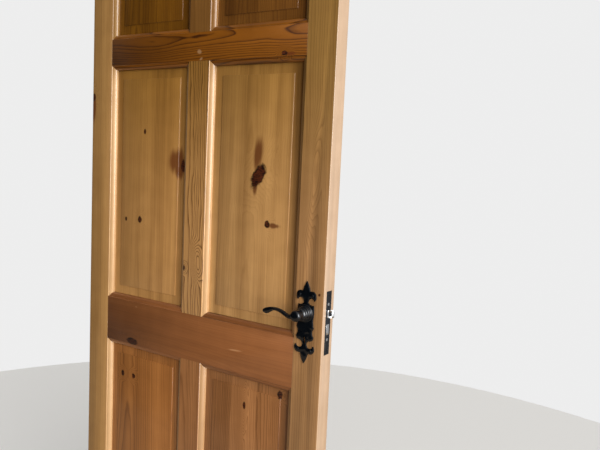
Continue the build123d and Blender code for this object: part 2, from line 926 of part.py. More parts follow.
def hub_form():
    """Many-sided head of the hub, drawn in at both ends."""
    with BuildPart() as form:
        with BuildSketch(front_plane.offset(hub_start)):
            RegularPolygon(hub_radius, hub_sides)
        extrude(amount=hub_end - hub_start)
        ends = form.faces().sort_by(Axis.Y)
        chamfer(ends[0].edges(), hub_crown_chamfer)
        chamfer(ends[-1].edges(), hub_foot_chamfer)
    return form.part


with BuildPart() as front_lever:
    add(arm_form())
    add(hub_form())
    with BuildSketch(front_plane.offset(neck_start)):
        Circle(neck_radius)
    extrude(amount=hub_start - neck_start)
    with BuildSketch(front_plane.offset(neck_start)):
        Rectangle(
            spindle_side + 2 * spindle_socket_gap, spindle_side + 2 * spindle_socket_gap
        )
    extrude(amount=spindle_socket_end - neck_start, mode=Mode.SUBTRACT)
save(front_lever.part, "front_lever")

with BuildPart() as rear_lever:
    mirror(front_lever.part, about=Plane.XZ)
save(rear_lever.part, "rear_lever")

with BuildPart() as front_lever_ring:
    with BuildSketch(front_plane.offset(neck_start)):
        RegularPolygon(ring_outer_radius, ring_sides)
        RegularPolygon(neck_radius, ring_sides, major_radius=False, mode=Mode.SUBTRACT)
    extrude(amount=ring_thickness)
save(front_lever_ring.part, "front_lever_ring")

with BuildPart() as rear_lever_ring:
    mirror(front_lever_ring.part, about=Plane.XZ)
save(rear_lever_ring.part, "rear_lever_ring")
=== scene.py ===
"""Six-panel pine door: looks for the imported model, laid out as a Blender add-on."""

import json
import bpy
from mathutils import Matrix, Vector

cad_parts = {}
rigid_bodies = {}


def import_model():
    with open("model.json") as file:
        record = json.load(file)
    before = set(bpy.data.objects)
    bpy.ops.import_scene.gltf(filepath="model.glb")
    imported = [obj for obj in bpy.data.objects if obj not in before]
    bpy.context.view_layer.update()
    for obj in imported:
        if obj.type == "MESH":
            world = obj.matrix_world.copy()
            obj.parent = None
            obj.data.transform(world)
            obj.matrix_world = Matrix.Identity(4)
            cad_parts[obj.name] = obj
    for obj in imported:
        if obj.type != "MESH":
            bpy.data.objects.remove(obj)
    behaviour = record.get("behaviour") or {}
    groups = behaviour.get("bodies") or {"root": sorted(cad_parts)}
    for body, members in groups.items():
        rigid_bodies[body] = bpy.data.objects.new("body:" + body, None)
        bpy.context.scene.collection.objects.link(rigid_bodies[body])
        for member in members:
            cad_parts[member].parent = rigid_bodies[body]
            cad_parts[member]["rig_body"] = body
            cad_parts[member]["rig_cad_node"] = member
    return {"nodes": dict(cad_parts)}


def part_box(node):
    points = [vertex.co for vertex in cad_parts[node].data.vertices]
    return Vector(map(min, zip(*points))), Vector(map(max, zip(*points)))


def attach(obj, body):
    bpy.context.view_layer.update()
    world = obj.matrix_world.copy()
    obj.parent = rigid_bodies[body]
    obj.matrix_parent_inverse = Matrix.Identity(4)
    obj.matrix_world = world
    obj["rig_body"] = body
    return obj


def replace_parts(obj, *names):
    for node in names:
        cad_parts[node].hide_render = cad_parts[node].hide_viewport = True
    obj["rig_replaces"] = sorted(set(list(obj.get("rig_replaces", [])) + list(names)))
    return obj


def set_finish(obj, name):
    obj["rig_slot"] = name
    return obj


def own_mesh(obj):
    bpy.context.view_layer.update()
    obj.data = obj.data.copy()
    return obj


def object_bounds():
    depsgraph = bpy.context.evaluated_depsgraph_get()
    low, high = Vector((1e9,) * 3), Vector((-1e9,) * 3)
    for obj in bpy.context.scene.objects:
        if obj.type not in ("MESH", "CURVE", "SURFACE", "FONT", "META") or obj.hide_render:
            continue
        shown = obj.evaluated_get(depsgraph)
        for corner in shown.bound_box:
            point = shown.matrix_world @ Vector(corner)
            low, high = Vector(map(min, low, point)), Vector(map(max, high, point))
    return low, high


bl_info = {
    "name": "Six-panel pine door",
    "version": (1, 0, 0),
    "blender": (4, 5, 0),
    "location": "3D View > Sidebar > Pine door",
    "description": "Panelled pine door leaf with lever handles, mortise lock and butt hinges",
    "category": "Object",
}

from functools import partial
from math import asin, atan2, cos, exp, pi, radians, sin, sqrt

import bmesh
import bpy
from mathutils import Matrix, Vector, noise

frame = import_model()
CAD_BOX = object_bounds()

MM = 0.001
MOULDING_WIDTH = 13.0 * MM

# Places in the row frame that the pieces share, in metres
LEAF_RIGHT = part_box("lock_stile")[1].x
FRONT_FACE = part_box("lock_stile")[0].y
LOW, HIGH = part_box("front_lever_ring")
SPINDLE = Vector(((LOW.x + HIGH.x) / 2, FRONT_FACE, (LOW.z + HIGH.z) / 2))


def linear(text):
    """Turns an sRGB hex colour into linear red, green, blue and alpha."""
    values = [int(text[i : i + 2], 16) / 255 for i in (1, 3, 5)]
    return [v / 12.92 if v <= 0.04045 else ((v + 0.055) / 1.055) ** 2.4 for v in values] + [1.0]


def colour_setting(name, text, words):
    """A colour that a user can change, given as sRGB hex."""
    return bpy.props.FloatVectorProperty(
        name=name, description=words, subtype="COLOR", size=4, min=0, max=1, default=linear(text)
    )


def number_setting(name, value, words, **facts):
    """A number that a user can change."""
    return bpy.props.FloatProperty(name=name, description=words, default=value, **facts)


def length_setting(name, millimetres, words):
    """A length that a user can change, given in millimetres."""
    facts = dict(min=0, precision=5, subtype="DISTANCE", unit="LENGTH")
    return number_setting(name, millimetres * MM, words, **facts)


class PineSettings(bpy.types.PropertyGroup):
    """Sizes and colours of the waxed pine."""

    knot: colour_setting("Knot", "#4f2410", "Brown heart of a knot")
    bark: colour_setting("Bark", "#140704", "Black cracks and rim of a knot")
    resin: colour_setting("Resin", "#5b2b0e", "Brown flame of resin above a knot")
    bare_edge: colour_setting("Bare edge", "#aa8f75", "Pale wood of the planed lock edge")
    # The moulding colour is partly paler wood, partly painted sheen of the light from the right
    moulding: colour_setting("Moulding", "#c39b6e", "Paler wood of the mouldings")
    ring_width: length_setting("Ring width", 4.4, "Distance between two ring lines on a flat face")
    fibre_width: length_setting("Fibre width", 1.2, "Width of the fine streaks along the grain")
    arris: length_setting("Arris", 0.7, "Rounding of the sanded edges")


class MetalSettings(bpy.types.PropertyGroup):
    """Sizes and colours of the ironwork and the lock."""

    black: colour_setting("Black iron", "#05080c", "Blackened cast iron of handles and plates")
    hinge_black: colour_setting("Lacquer", "#090c10", "Black lacquer of hinges and faceplate")
    steel: colour_setting("Steel", "#9c9da0", "Zinc plated steel of the lock")
    bolt: colour_setting("Bolt", "#d4d6d8", "Polished nickel of the bolts")
    screw_slot: length_setting("Screw slot", 0.9, "Width of the slot in a screw head")


class StageSettings(bpy.types.PropertyGroup):
    """Floor, background and light."""

    floor: colour_setting("Floor", "#e6e4e0", "Plain pale floor")
    floor_bounce: colour_setting("Floor bounce", "#a8967f", "Floor's tone as it lights the door")
    window_power: number_setting("Window light", 3.8, "Strength of the soft light from the right")
    fill: number_setting("Fill light", 0.5, "Strength of the even light from all round")
    window_glow: number_setting("Window glow", 1.0, "How much brighter the room is on the right")
    backdrop: number_setting("Backdrop", 0.85, "Brightness of the wall that the camera sees")
    window_size: number_setting(
        "Window size", radians(44), "How wide the light from the right looks", subtype="ANGLE"
    )


# A group of settings for each kind of step, by its name in the scene
GROUPS = {"door_pine": PineSettings, "door_metal": MetalSettings, "door_stage": StageSettings}


# Materials


def put(tree, kind, links=(), out=0, **settings):
    """Adds a node with its settings, and links or sets its inputs, given by name or in order.
    Gives back one of its outputs, or the node itself where out is None."""
    node = tree.nodes.new("ShaderNode" + kind)
    for name, value in settings.items():
        setattr(node, name, value)
    for socket, source in links.items() if isinstance(links, dict) else enumerate(links):
        if isinstance(source, bpy.types.NodeSocket):
            tree.links.new(source, node.inputs[socket])
        else:
            node.inputs[socket].default_value = source
    return node if out is None else node.outputs[out]


# Settings that several nodes share: a mix of colours, a smooth rise, a product and a sum
COLOURS = dict(out=2, data_type="RGBA")
SMOOTH = dict(interpolation_type="SMOOTHSTEP")
TIMES = dict(operation="MULTIPLY")
PLUS = dict(operation="ADD")


def set_stops(ramp, stops, interpolation):
    """Gives a colour ramp its stops, each a position and a colour."""
    elements = ramp.color_ramp.elements
    ramp.color_ramp.interpolation = interpolation
    while len(elements) > 1:
        elements.remove(elements[-1])
    elements[0].position, elements[0].color = stops[0]
    for position, colour in stops[1:]:
        elements.new(position).color = colour


def new_surface(name):
    """A material with an empty tree, and the call that adds nodes to it."""
    material = bpy.data.materials.new(name)
    material.use_nodes = True
    material.node_tree.nodes.clear()
    return material, partial(put, material.node_tree)


def finish_surface(add, sockets):
    """The shader with its links and constants, and the output."""
    add("OutputMaterial", {"Surface": add("BsdfPrincipled", sockets)}, None)


def grey(value):
    return (value, value, value, 1.0)


def nearest_of(add, position, spots):
    """Distance to the nearest of some ovals on the face, 1 at their rims."""
    nearest = None
    for x, z, half_width, half_height, turn in spots:
        oval = {0: position, "Location": (x, 0, z), "Rotation": (0, radians(turn), 0)}
        oval["Scale"] = (half_width, 1.0, half_height)
        placed = add("Mapping", oval, vector_type="TEXTURE")
        distance = add("VectorMath", [placed], "Value", operation="LENGTH")
        if nearest is not None:
            distance = add("Math", [nearest, distance], operation="MINIMUM")
        nearest = distance
    return nearest


# Tone across one growth ring, 0 pale and 1 dark: pale early wood, then a thin dark line
RING_STOPS = [
    (0.0, grey(0.1)),
    (0.08, grey(0.0)),
    (0.5, grey(0.12)),
    (0.76, grey(0.5)),
    (0.9, grey(1.0)),
    (0.97, grey(0.55)),
    (1.0, grey(0.1)),
]
# Noises drawn out along the grain: how far the seed shifts them and a fixed shift, each across,
# through and along the board, then cells per metre across and along, detail and roughness.
# Bends of the rings about 90 mm wide and 0.4 m long, short bends in wild grain, streaks and broad
# bands of tone 20 to 40 mm wide, and long fibres with their own width.
GRAIN_NOISES = {
    "slow": ((1, 1.7, 0), (0, 0, 0), 11, 2.4, 1.5, 0.45),
    "quick": ((0, 2.3, 0), (0, 0, 0), 42, 11, 2.0, 0.5),
    "streak": ((0, 0, 0), (3, 1, 0), 46, 1.3, 4.0, 0.5),
    "broad": ((1, 0, 0), (0, 5, 0), 24, 1.1, 2.0, 0.5),
    "fibre": ((0, 0, 0), (0, 0, 0), None, None, 3.0, 0.6),
}
# A fibre is this many times longer than it is wide
FIBRE_LENGTH = 60
# How far the heart of the log moves from the palest strip to the darkest, in metres
STRIP_SHIFT = 0.31
# Good and bad years: over how much growth they change, and how far they push the rings
YEARS_SPAN = 17 * MM
YEARS_PUSH = 9 * MM
# How unevenly a knot's rim is torn, as a share of its size, and the size of the tears
KNOT_TEAR = 0.7
KNOT_TEAR_SIZE = 7 * MM
# Rings round a knot or a hidden one: where they start and stop bending, in knot sizes, and how far
KNOT_SWELL = (0.2, 4.2, 0.020)
SWIRL_SWELL = (0.0, 2.6, 0.034)
# The colour turns deeper and more golden between these heights
HEAD_TONE_START = 1.1
HEAD_TONE_END = 1.6
MOTTLE_SIZE = 45 * MM
MOTTLE_SPREAD = 0.07
# How strongly red, green and blue follow the streaks: dark ones are redder
STREAK_POWERS = (0.95, 1.1, 1.3)
# How far the streaks tear the rim of a stain, how much resin and patches cover, and a knot's
# cracks: turn and cells per metre
STAIN_TEAR = 1.6
RESIN_COVER = 0.85
PATCH_COVER = 0.6
CRACK_TURN = radians(38)
CRACK_SCALE = (90, 90, 330)
# Between these depths under the lock edge, the wax ends and bare wood starts
BARE_EDGE_DEPTHS = (1.6 * MM, 0.4 * MM)
BARE_EDGE_COVER = 0.9


def pine(name, member_box, look):
    """Waxed pine, sawn along the grain: growth rings around a pith behind the face, long fibres,
    strips glued side by side, and knots that the rings flow round."""
    settings = bpy.context.scene.door_pine
    material, add = new_surface(name)
    position = add("TexCoord", out="Object")
    axes = add("SeparateXYZ", [position], None).outputs
    across = look["across"]
    side, run = (axes["X"], axes["Z"]) if across == "x" else (axes["Z"], axes["X"])
    low, high = (getattr(corner, across) for corner in member_box)
    middle = (low + high) / 2
    board = add("CombineXYZ", [side, axes["Y"], run])

    # Strips glued side by side differ in tone and in where their heart lay
    place = add("MapRange", [side, low, high, 0.0, 1.0])
    strip = add("ValToRGB", [place], None)
    starts = [0.0 if x is None else (x - low) / (high - low) for x, tone in look["strips"]]
    tones = [grey(tone) for x, tone in look["strips"]]
    set_stops(strip, list(zip(starts, tones)), "CONSTANT")
    strip_tone = strip.outputs[0]

    # The fibres are drawn wider than real ones so that they show
    fibres = 1 / settings.fibre_width
    grain = {}
    for kind, (seeded, fixed, wide, long, detail, rough) in GRAIN_NOISES.items():
        scale = (wide or fibres, wide or fibres, long or fibres / FIBRE_LENGTH)
        offset = [look["seed"] * share + shift for share, shift in zip(seeded, fixed)]
        sockets = {0: add("Mapping", {0: board, "Location": offset, "Scale": scale})}
        sockets.update({"Scale": 1.0, "Detail": detail, "Roughness": rough})
        grain[kind] = add("TexNoise", sockets)
    mottle = add("TexNoise", {0: position, "Scale": 1 / MOTTLE_SIZE, "Detail": 4.0})

    # Distance from the pith, bent by the noises and changing along the board
    shift = [strip_tone, STRIP_SHIFT, look["pith"] - middle - STRIP_SHIFT / 2]
    shift = add("Math", shift, operation="MULTIPLY_ADD")
    from_pith = add("Math", [side, shift], **PLUS)
    behind = add("Math", [axes["Y"], look["heart"]], operation="SUBTRACT")
    radius = add("CombineXYZ", [from_pith, behind])
    radius = add("VectorMath", [radius], "Value", operation="LENGTH")
    for source, kind in ((grain["slow"], "slow"), (grain["quick"], "quick"), (run, "taper")):
        radius = add("Math", [source, look[kind], radius], operation="MULTIPLY_ADD")
    years = {"W": radius, "Scale": 1 / YEARS_SPAN, "Detail": 1.0}
    years = add("TexNoise", years, noise_dimensions="1D")
    radius = add("Math", [years, YEARS_PUSH, radius], operation="MULTIPLY_ADD")

    # Rings flow round each knot, whose rim is torn, and round knots hidden below the face
    bulges = []
    if look["knots"]:
        tear = add("TexNoise", {0: position, "Scale": 1 / KNOT_TEAR_SIZE, "Detail": 3.0})
        knot = nearest_of(add, position, look["knots"])
        knot = add("Math", [knot, KNOT_TEAR / 2], operation="SUBTRACT")
        knot = add("Math", [tear, KNOT_TEAR, knot], operation="MULTIPLY_ADD")
        bulges.append((knot, KNOT_SWELL))
    if look["swirls"]:
        bulges.append((nearest_of(add, position, look["swirls"]), SWIRL_SWELL))
    for distance, (near, far, height) in bulges:
        swell = [distance, near, far, height, 0.0]
        swell = add("MapRange", swell, interpolation_type="SMOOTHERSTEP")
        radius = add("Math", [radius, swell], **PLUS)
    count = add("Math", [radius, settings.ring_width * look["ring"]], operation="DIVIDE")
    ring = add("ValToRGB", [add("Math", [count], operation="FRACT")], None)
    set_stops(ring, RING_STOPS, "EASE")
    ring_line = ring.outputs[0]

    # Colour: dark ring lines on pale wood, then fibres, streaks, bands, strips and mottle
    figure = add("Math", [ring_line, look["figure"]], **TIMES)
    wood = add("Mix", {0: figure, 6: linear(look["pale"]), 7: linear(look["dark"])}, **COLOURS)
    value = add("MapRange", [grain["fibre"], 0.3, 0.7, 0.95, 1.04])
    for pattern, spread in (
        (grain["streak"], look["streaks"]),
        (grain["broad"], look["broad"]),
        (strip_tone, look["strip_spread"]),
        (mottle, MOTTLE_SPREAD),
    ):
        share = add("MapRange", [pattern, 0.25, 0.75, 1 - spread, 1 + spread])
        value = add("Math", [value, share], **TIMES)
    channels = [add("Math", [value, power], operation="POWER") for power in STREAK_POWERS]
    tone = add("CombineXYZ", channels)
    wood = add("VectorMath", [wood, tone], **TIMES)

    # Deeper and more golden towards the head of the door
    toward_head = add("MapRange", [axes["Z"], HEAD_TONE_START, HEAD_TONE_END], **SMOOTH)
    tint = add("Mix", {0: toward_head, 6: grey(1.0), 7: look["head"] + (1.0,)}, **COLOURS)
    wood = add("VectorMath", [wood, tint], **TIMES)

    # What lies on the wood: pale mouldings with painted sheen, stains, knots and the bare edge
    layers = []
    if look["moulding"]:
        # Mouldings are paler than the faces, up to the frieze rail: partly paler wood, partly
        # painted sheen of the light from the right
        centre, reach = middle, (high - low) / 2
        if look["moulding_on"] == "right":
            centre, reach = low, high - low
        arris = reach - MOULDING_WIDTH
        off_centre = add("Math", [side, centre], operation="SUBTRACT")
        off_centre = add("Math", [off_centre], operation="ABSOLUTE")
        cover = add("MapRange", [off_centre, arris, arris + MM, 0.0, look["moulding"]])
        below = add("MapRange", [axes["Z"], HEAD_TONE_END - 0.1, HEAD_TONE_END, 1.0, 0.0])
        cover = add("Math", [cover, below], **TIMES)
        pale_layer = [list(settings.moulding)[:3], tone]
        layers.append((cover, add("VectorMath", pale_layer, **TIMES)))
    for stain, spots, strength in (
        (list(settings.resin), look["resin"], RESIN_COVER),
        (linear(look["patch_colour"]), look["patches"], PATCH_COVER),
    ):
        if spots:
            near = [grain["streak"], STAIN_TEAR, nearest_of(add, position, spots)]
            near = add("Math", near, operation="MULTIPLY_ADD")
            layers.append((add("MapRange", [near, 1.2, 1.8, strength, 0.0], **SMOOTH), stain))
    if look["knots"]:
        # Brown heart with black cracks that run crosswise, and a black rim here and there
        place = {0: position, "Rotation": (0, CRACK_TURN, 0), "Scale": CRACK_SCALE}
        cracks = add("TexNoise", {0: add("Mapping", place), "Scale": 1.0, "Detail": 3.0})
        rim = add("MapRange", [knot, 0.45, 1.0, 0.0, 0.16])
        black = add("Math", [cracks, rim], **PLUS)
        black = add("MapRange", [black, 0.47, 0.63, 0.0, 1.0])
        heart = {0: black, 6: list(settings.knot), 7: list(settings.bark)}
        heart = add("Mix", heart, **COLOURS)
        layers.append((add("MapRange", [knot, 0.8, 1.2, 1.0, 0.0], **SMOOTH), heart))
    if look["bare_edge"]:
        start, end = (LEAF_RIGHT - depth for depth in BARE_EDGE_DEPTHS)
        cover = add("MapRange", [axes["X"], start, end, 0.0, BARE_EDGE_COVER])
        pale_layer = [list(settings.bare_edge)[:3], tone]
        layers.append((cover, add("VectorMath", pale_layer, **TIMES)))
    for cover, colour in layers:
        wood = add("Mix", {0: cover, 6: wood, 7: colour}, **COLOURS)

    sheen = add("MapRange", [grain["fibre"], 0.3, 0.7, 0.32, 0.46])
    grooves = add("Math", [ring_line, 0.5, grain["fibre"]], operation="MULTIPLY_ADD")
    bump = add("Bump", {"Strength": 0.12, "Distance": 0.4 * MM, "Height": grooves})
    sockets = {"Base Color": wood, "Roughness": sheen, "Normal": bump}
    finish_surface(add, {**sockets, "IOR": 1.4, "Coat Weight": 0.55, "Coat Roughness": 0.17})
    return material


def iron(name, colour, roughness, grain_mm, coat):
    """Cast or pressed iron under satin black paint: pits of the casting, edges rubbed a little."""
    material, add = new_surface(name)
    position = add("TexCoord", out="Object")
    pits = add("TexNoise", {0: position, "Scale": 1 / (grain_mm * MM), "Detail": 3.0})
    patches = add("TexNoise", {0: position, "Scale": 1 / (22 * MM), "Detail": 2.0})
    worn = [c * 1.5 for c in colour[:3]] + [1.0]
    tint = add("Mix", {0: patches, 6: colour, 7: worn}, **COLOURS)
    edge = add("NewGeometry", out="Pointiness")
    rubbed = add("MapRange", [edge, 0.54, 0.66, 0.0, 0.25])
    tint = add("Mix", {0: rubbed, 6: tint, 7: linear("#262b31")}, **COLOURS)
    sockets = {
        "Base Color": tint,
        "Roughness": add("MapRange", [patches, 0.3, 0.7, roughness - 0.05, roughness + 0.07]),
        "IOR": 1.25,
        "Coat Weight": coat,
        "Coat Roughness": 0.06,
        "Coat IOR": 1.6,
        "Coat Tint": linear("#dfe9f6"),
        "Normal": add("Bump", {"Strength": 0.15, "Distance": 0.1 * MM, "Height": pits}),
    }
    finish_surface(add, sockets)
    return material


def metal(name, colour, roughness, brush_mm):
    """Bare or plated steel, brushed or polished upwards."""
    material, add = new_surface(name)
    position = add("TexCoord", out="Object")
    fine = 1 / (brush_mm * MM)
    place = add("Mapping", {0: position, "Scale": (fine, fine, fine / 30)})
    lines = add("TexNoise", {0: place, "Scale": 1.0, "Detail": 2.0})
    dull = [c * 0.86 for c in colour[:3]] + [1.0]
    sockets = {
        "Base Color": add("Mix", {0: lines, 6: dull, 7: colour}, **COLOURS),
        "Metallic": 1.0,
        "Roughness": add("MapRange", [lines, 0.3, 0.7, roughness - 0.04, roughness + 0.06]),
        "Normal": add("Bump", {"Strength": 0.1, "Distance": 0.05 * MM, "Height": lines}),
    }
    finish_surface(add, sockets)
    return material


# Finish of each slot of the fittings: its material, how that is made, its colour setting, its
# roughness, the size of its grain in millimetres, and how much of a clear coat it has
LACQUERED = ("black_lacquered_steel", iron, "hinge_black", 0.42, 0.9, 0.05)
NICKELLED = ("polished_nickel", metal, "bolt", 0.14, 0.4)
FINISHES = {
    # Cast iron under baked satin black: nearly black, with small bright bluish highlights
    "black_iron": ("blackened_cast_iron", iron, "black", 0.3, 1.6, 0.75),
    # Pressed steel under black lacquer: flatter and a little smoother than the castings
    "black_steel": LACQUERED,
    "hinge_steel": LACQUERED,
    # Zinc plated steel: dull grey with fine drawing lines
    "lock_steel": ("zinc_plated_steel", metal, "steel", 0.34, 0.5),
    # Polished nickel plate: bright, and it mirrors what is round it
    "bolt_steel": NICKELLED,
    "screw_steel": NICKELLED,
}


# Modelling tools


def select_only(piece):
    bpy.ops.object.select_all(action="DESELECT")
    piece.select_set(True)
    bpy.context.view_layer.objects.active = piece


def named(piece, name):
    """Gives an object and its mesh one name."""
    piece.name = name
    piece.data.name = name
    return piece


def finish_piece(piece, body, slot_name, replaced=(), material=None):
    """Puts a finished piece on its body, in its finish and in the place of its CAD nodes."""
    if material is None:
        name, make, setting, *facts = FINISHES[slot_name]
        colour = list(getattr(bpy.context.scene.door_metal, setting))
        material = bpy.data.materials.get(name) or make(name, colour, *facts)
    select_only(piece)
    bpy.ops.object.transform_apply(location=True, rotation=True, scale=True)
    piece.data.materials.clear()
    piece.data.materials.append(material)
    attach(piece, body)
    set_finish(piece, slot_name)
    if replaced:
        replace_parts(piece, *replaced)
    return piece


def edit_all(piece, *steps):
    """Runs mesh operators on the whole of a piece."""
    select_only(piece)
    bpy.ops.object.mode_set(mode="EDIT")
    bpy.ops.mesh.select_all(action="SELECT")
    for step in steps:
        step()
    bpy.ops.object.mode_set(mode="OBJECT")


def merged(distance):
    return partial(bpy.ops.mesh.remove_doubles, threshold=distance)


face_outwards = partial(bpy.ops.mesh.normals_make_consistent, inside=False)


def duplicated(source, name):
    """A free copy of an object, with its own mesh."""
    select_only(source)
    bpy.ops.object.duplicate()
    piece = named(bpy.context.view_layer.objects.active, name)
    piece.parent = None
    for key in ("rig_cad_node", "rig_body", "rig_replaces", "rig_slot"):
        if key in piece:
            del piece[key]
    return piece


def rounded(piece, width, segments, crease):
    """Rounds the edges of a piece that turn by more than an angle in degrees."""
    select_only(piece)
    bevel = piece.modifiers.new("rounding", "BEVEL")
    bevel.width = width
    bevel.segments = segments
    bevel.limit_method = "ANGLE"
    bevel.angle_limit = radians(crease)
    bpy.ops.object.modifier_apply(modifier=bevel.name)


def smooth(piece, angle):
    """Smooth shading over edges that turn by less than an angle in degrees."""
    select_only(piece)
    bpy.ops.object.shade_smooth_by_angle(angle=radians(angle))


def dressed_copy(node, name, rounding):
    """Copy of a CAD node with its flat faces joined, its sharp edges rounded and curves smooth."""
    piece = duplicated(frame["nodes"][node], name)
    piece.hide_render = False
    piece.hide_viewport = False
    edit_all(
        piece,
        merged(0.005 * MM),
        partial(bpy.ops.mesh.dissolve_limited, angle_limit=radians(0.5)),
    )
    if rounding:
        rounded(piece, rounding, 2, 50)
    smooth(piece, 34)
    return piece


def dress(node, kind, rounding, body, slot_name, material=None):
    """Puts a dressed copy of a CAD node in its place, named after the node and what it is."""
    piece = dressed_copy(node, f"{node}_{kind}", rounding)
    return finish_piece(piece, body, slot_name, [node], material)


def ringed(name, rings, closed=True):
    """A skin over a row of rings of points, extruded ring by ring from a circle."""
    count = len(rings[0])
    bpy.ops.object.select_all(action="DESELECT")
    bpy.ops.mesh.primitive_circle_add(
        vertices=count, radius=0.01, fill_type="NGON" if closed else "NOTHING"
    )
    piece = named(bpy.context.view_layer.objects.active, name)
    bpy.ops.object.mode_set(mode="EDIT")
    for step, ring in enumerate(rings):
        if step:
            bpy.ops.mesh.extrude_edges_move()
        mesh = bmesh.from_edit_mesh(piece.data)
        for vertex, place in zip(list(mesh.verts)[-count:], ring):
            vertex.co = place
        bmesh.update_edit_mesh(piece.data)
    if closed:
        bpy.ops.mesh.edge_face_add()
    bpy.ops.object.mode_set(mode="OBJECT")
    edit_all(piece, face_outwards)
    return piece


def joined(name, pieces):
    """One object from several that touch."""
    bpy.ops.object.select_all(action="DESELECT")
    for piece in pieces:
        piece.select_set(True)
    bpy.context.view_layer.objects.active = pieces[0]
    bpy.ops.object.join()
    return named(pieces[0], name)


def mirrored_to_back(piece, name):
    """A copy of a front piece for the back of the leaf."""
    copy = duplicated(piece, name)
    copy.data.transform(Matrix.Scale(-1, 4, (0, 1, 0)))
    edit_all(copy, bpy.ops.mesh.flip_normals)
    return copy


def from_spindle(reach, depth, rise):
    """Point in metres from millimetres: reach to the hinge side, depth off the face, rise up."""
    return Vector((SPINDLE.x - reach * MM, SPINDLE.y - depth * MM, SPINDLE.z + rise * MM))


def disc(middle, across, upward, reach, sides):
    """Points of a circle, from across towards upward."""
    turns = [2 * pi * i / sides for i in range(sides)]
    return [
        middle + across * (reach * cos(turn)) + upward * (reach * sin(turn)) for turn in turns
    ]


def turned_about_spindle(name, profile, closed):
    """A turned form from a profile of radius and depth off the face, in millimetres."""
    hingeward, upward = Vector((-1, 0, 0)), Vector((0, 0, 1))
    rings = [
        disc(from_spindle(0, depth, 0), hingeward, upward, radius * MM, 64)
        for radius, depth in profile
    ]
    return ringed(name, rings, closed)


def cut_away(piece, cutters):
    """Cuts closed forms out of a piece and removes them."""
    for cutter in cutters:
        cut = piece.modifiers.new("cut", "BOOLEAN")
        cut.operation = "DIFFERENCE"
        cut.solver = "EXACT"
        cut.object = cutter
        select_only(piece)
        bpy.ops.object.modifier_apply(modifier=cut.name)
        bpy.data.objects.remove(cutter)


def prism(name, outline, near, far):
    """A straight form between two depths off the leaf's face, in millimetres."""
    return ringed(name, [[from_spindle(x, depth, z) for x, z in outline] for depth in (near, far)])


def bar(near, far, along, aside):
    """A bar between two middles, with its half widths, for cutting a slot."""
    corners = ((-1, -1), (1, -1), (1, 1), (-1, 1))
    return ringed("bar", [[end + along * u + aside * v for u, v in corners] for end in (near, far)])


def arc(start, middle, end, steps=10):
    """Points on the circle through three points, from the first to just before the last."""
    ax, ay = middle[0] - start[0], middle[1] - start[1]
    bx, by = end[0] - start[0], end[1] - start[1]
    twice = 2 * (ax * by - ay * bx)
    cx = start[0] + (by * (ax * ax + ay * ay) - ay * (bx * bx + by * by)) / twice
    cy = start[1] + (ax * (bx * bx + by * by) - bx * (ax * ax + ay * ay)) / twice
    radius = sqrt((start[0] - cx) ** 2 + (start[1] - cy) ** 2)
    angles = [atan2(point[1] - cy, point[0] - cx) for point in (start, middle, end)]
    turn = (angles[2] - angles[0]) % (2 * pi)
    if (angles[1] - angles[0]) % (2 * pi) > turn:
        turn -= 2 * pi
    turns = [angles[0] + turn * i / steps for i in range(steps)]
    return [(cx + radius * cos(angle), cy + radius * sin(angle)) for angle in turns]


# Backplate outline, right half from the top, in millimetres: runs of curves that meet at a notch,
# each with its start and then the middle and end of every curve
PLATE_RUNS = (
    (
        (0.0, 71.7), (5.9, 60.5), (9.6, 48.6), (19.5, 48.8), (25.2, 38.5), (24.9, 32.6),
        (21.5, 28.4), (14.4, 33.8), (6.6, 28.0),
    ),
    (
        (5.4, 23.4), (11.4, 19.4), (20.2, 18.6), (21.4, 2.5), (19.6, -14.0), (20.2, -24.0),
        (22.6, -33.0), (18.4, -42.6), (22.4, -52.5), (20.2, -59.2), (13.5, -62.0), (8.2, -64.6),
        (5.4, -69.5),
    ),
    ((5.4, -71.5), (13.2, -79.4), (22.2, -72.3), (25.6, -83.0), (17.5, -91.4)),
    ((10.2, -90.6), (6.6, -102.5), (0.0, -114.5)),
)
PLATE_THICKNESS = 3.2
PLATE_RIM = 1.9
RIM_ROUNDING = 1.5
# Grid of the relief: its step, its shift off the outline's points, and where each row of cuts runs
RELIEF_GRID = 1.5
RELIEF_SHIFT = 0.05
RELIEF_CUTS = (((1, 0, 0), -26, 27), ((0, 0, 1), -114, 72))
DIMPLE_DEPTH = 0.35
DIMPLE_SIZE = 7 * MM
RECESS_RADIUS = 14.0
KEYHOLE_DROP = 57.0
KEYHOLE_RADIUS = 3.5
KEYHOLE_SLOT = (4.6, 11.5)
# Boss round the lever, from its bore over the rim and back: radius, depth off the face
BOSS_PROFILE = (
    (14.0, 3.4), (14.0, 0.0), (20.0, 0.0), (20.0, 5.6), (19.8, 6.6), (19.2, 7.3), (18.3, 7.6),
    (17.2, 7.5), (16.7, 7.9), (16.5, 8.6), (16.4, 11.6), (16.0, 12.9), (15.1, 13.8), (13.8, 14.0),
    (10.2, 14.0), (9.58, 13.4), (9.58, 3.4), (14.0, 3.4),
)
# Screws of a backplate: how far to each side of the spindle, and how high above it
PLATE_SCREWS = ((16.5, 40.5), (16.5, -83.5))
PLATE_SCREW_RADIUS = 3.2
PLATE_SCREW_RISE = 1.8
PLATE_SLOT_DEPTH = 1.0
SCREW_RIM = 0.2
RECESS_DEPTH = 0.9


def plate_outline():
    """Smooth outline of the whole backplate, once round."""
    right = []
    for run in PLATE_RUNS:
        for start in range(0, len(run) - 2, 2):
            right += arc(*run[start : start + 3])
        right.append(run[-1])
    return right + [(-x, z) for x, z in reversed(right[1:-1])]


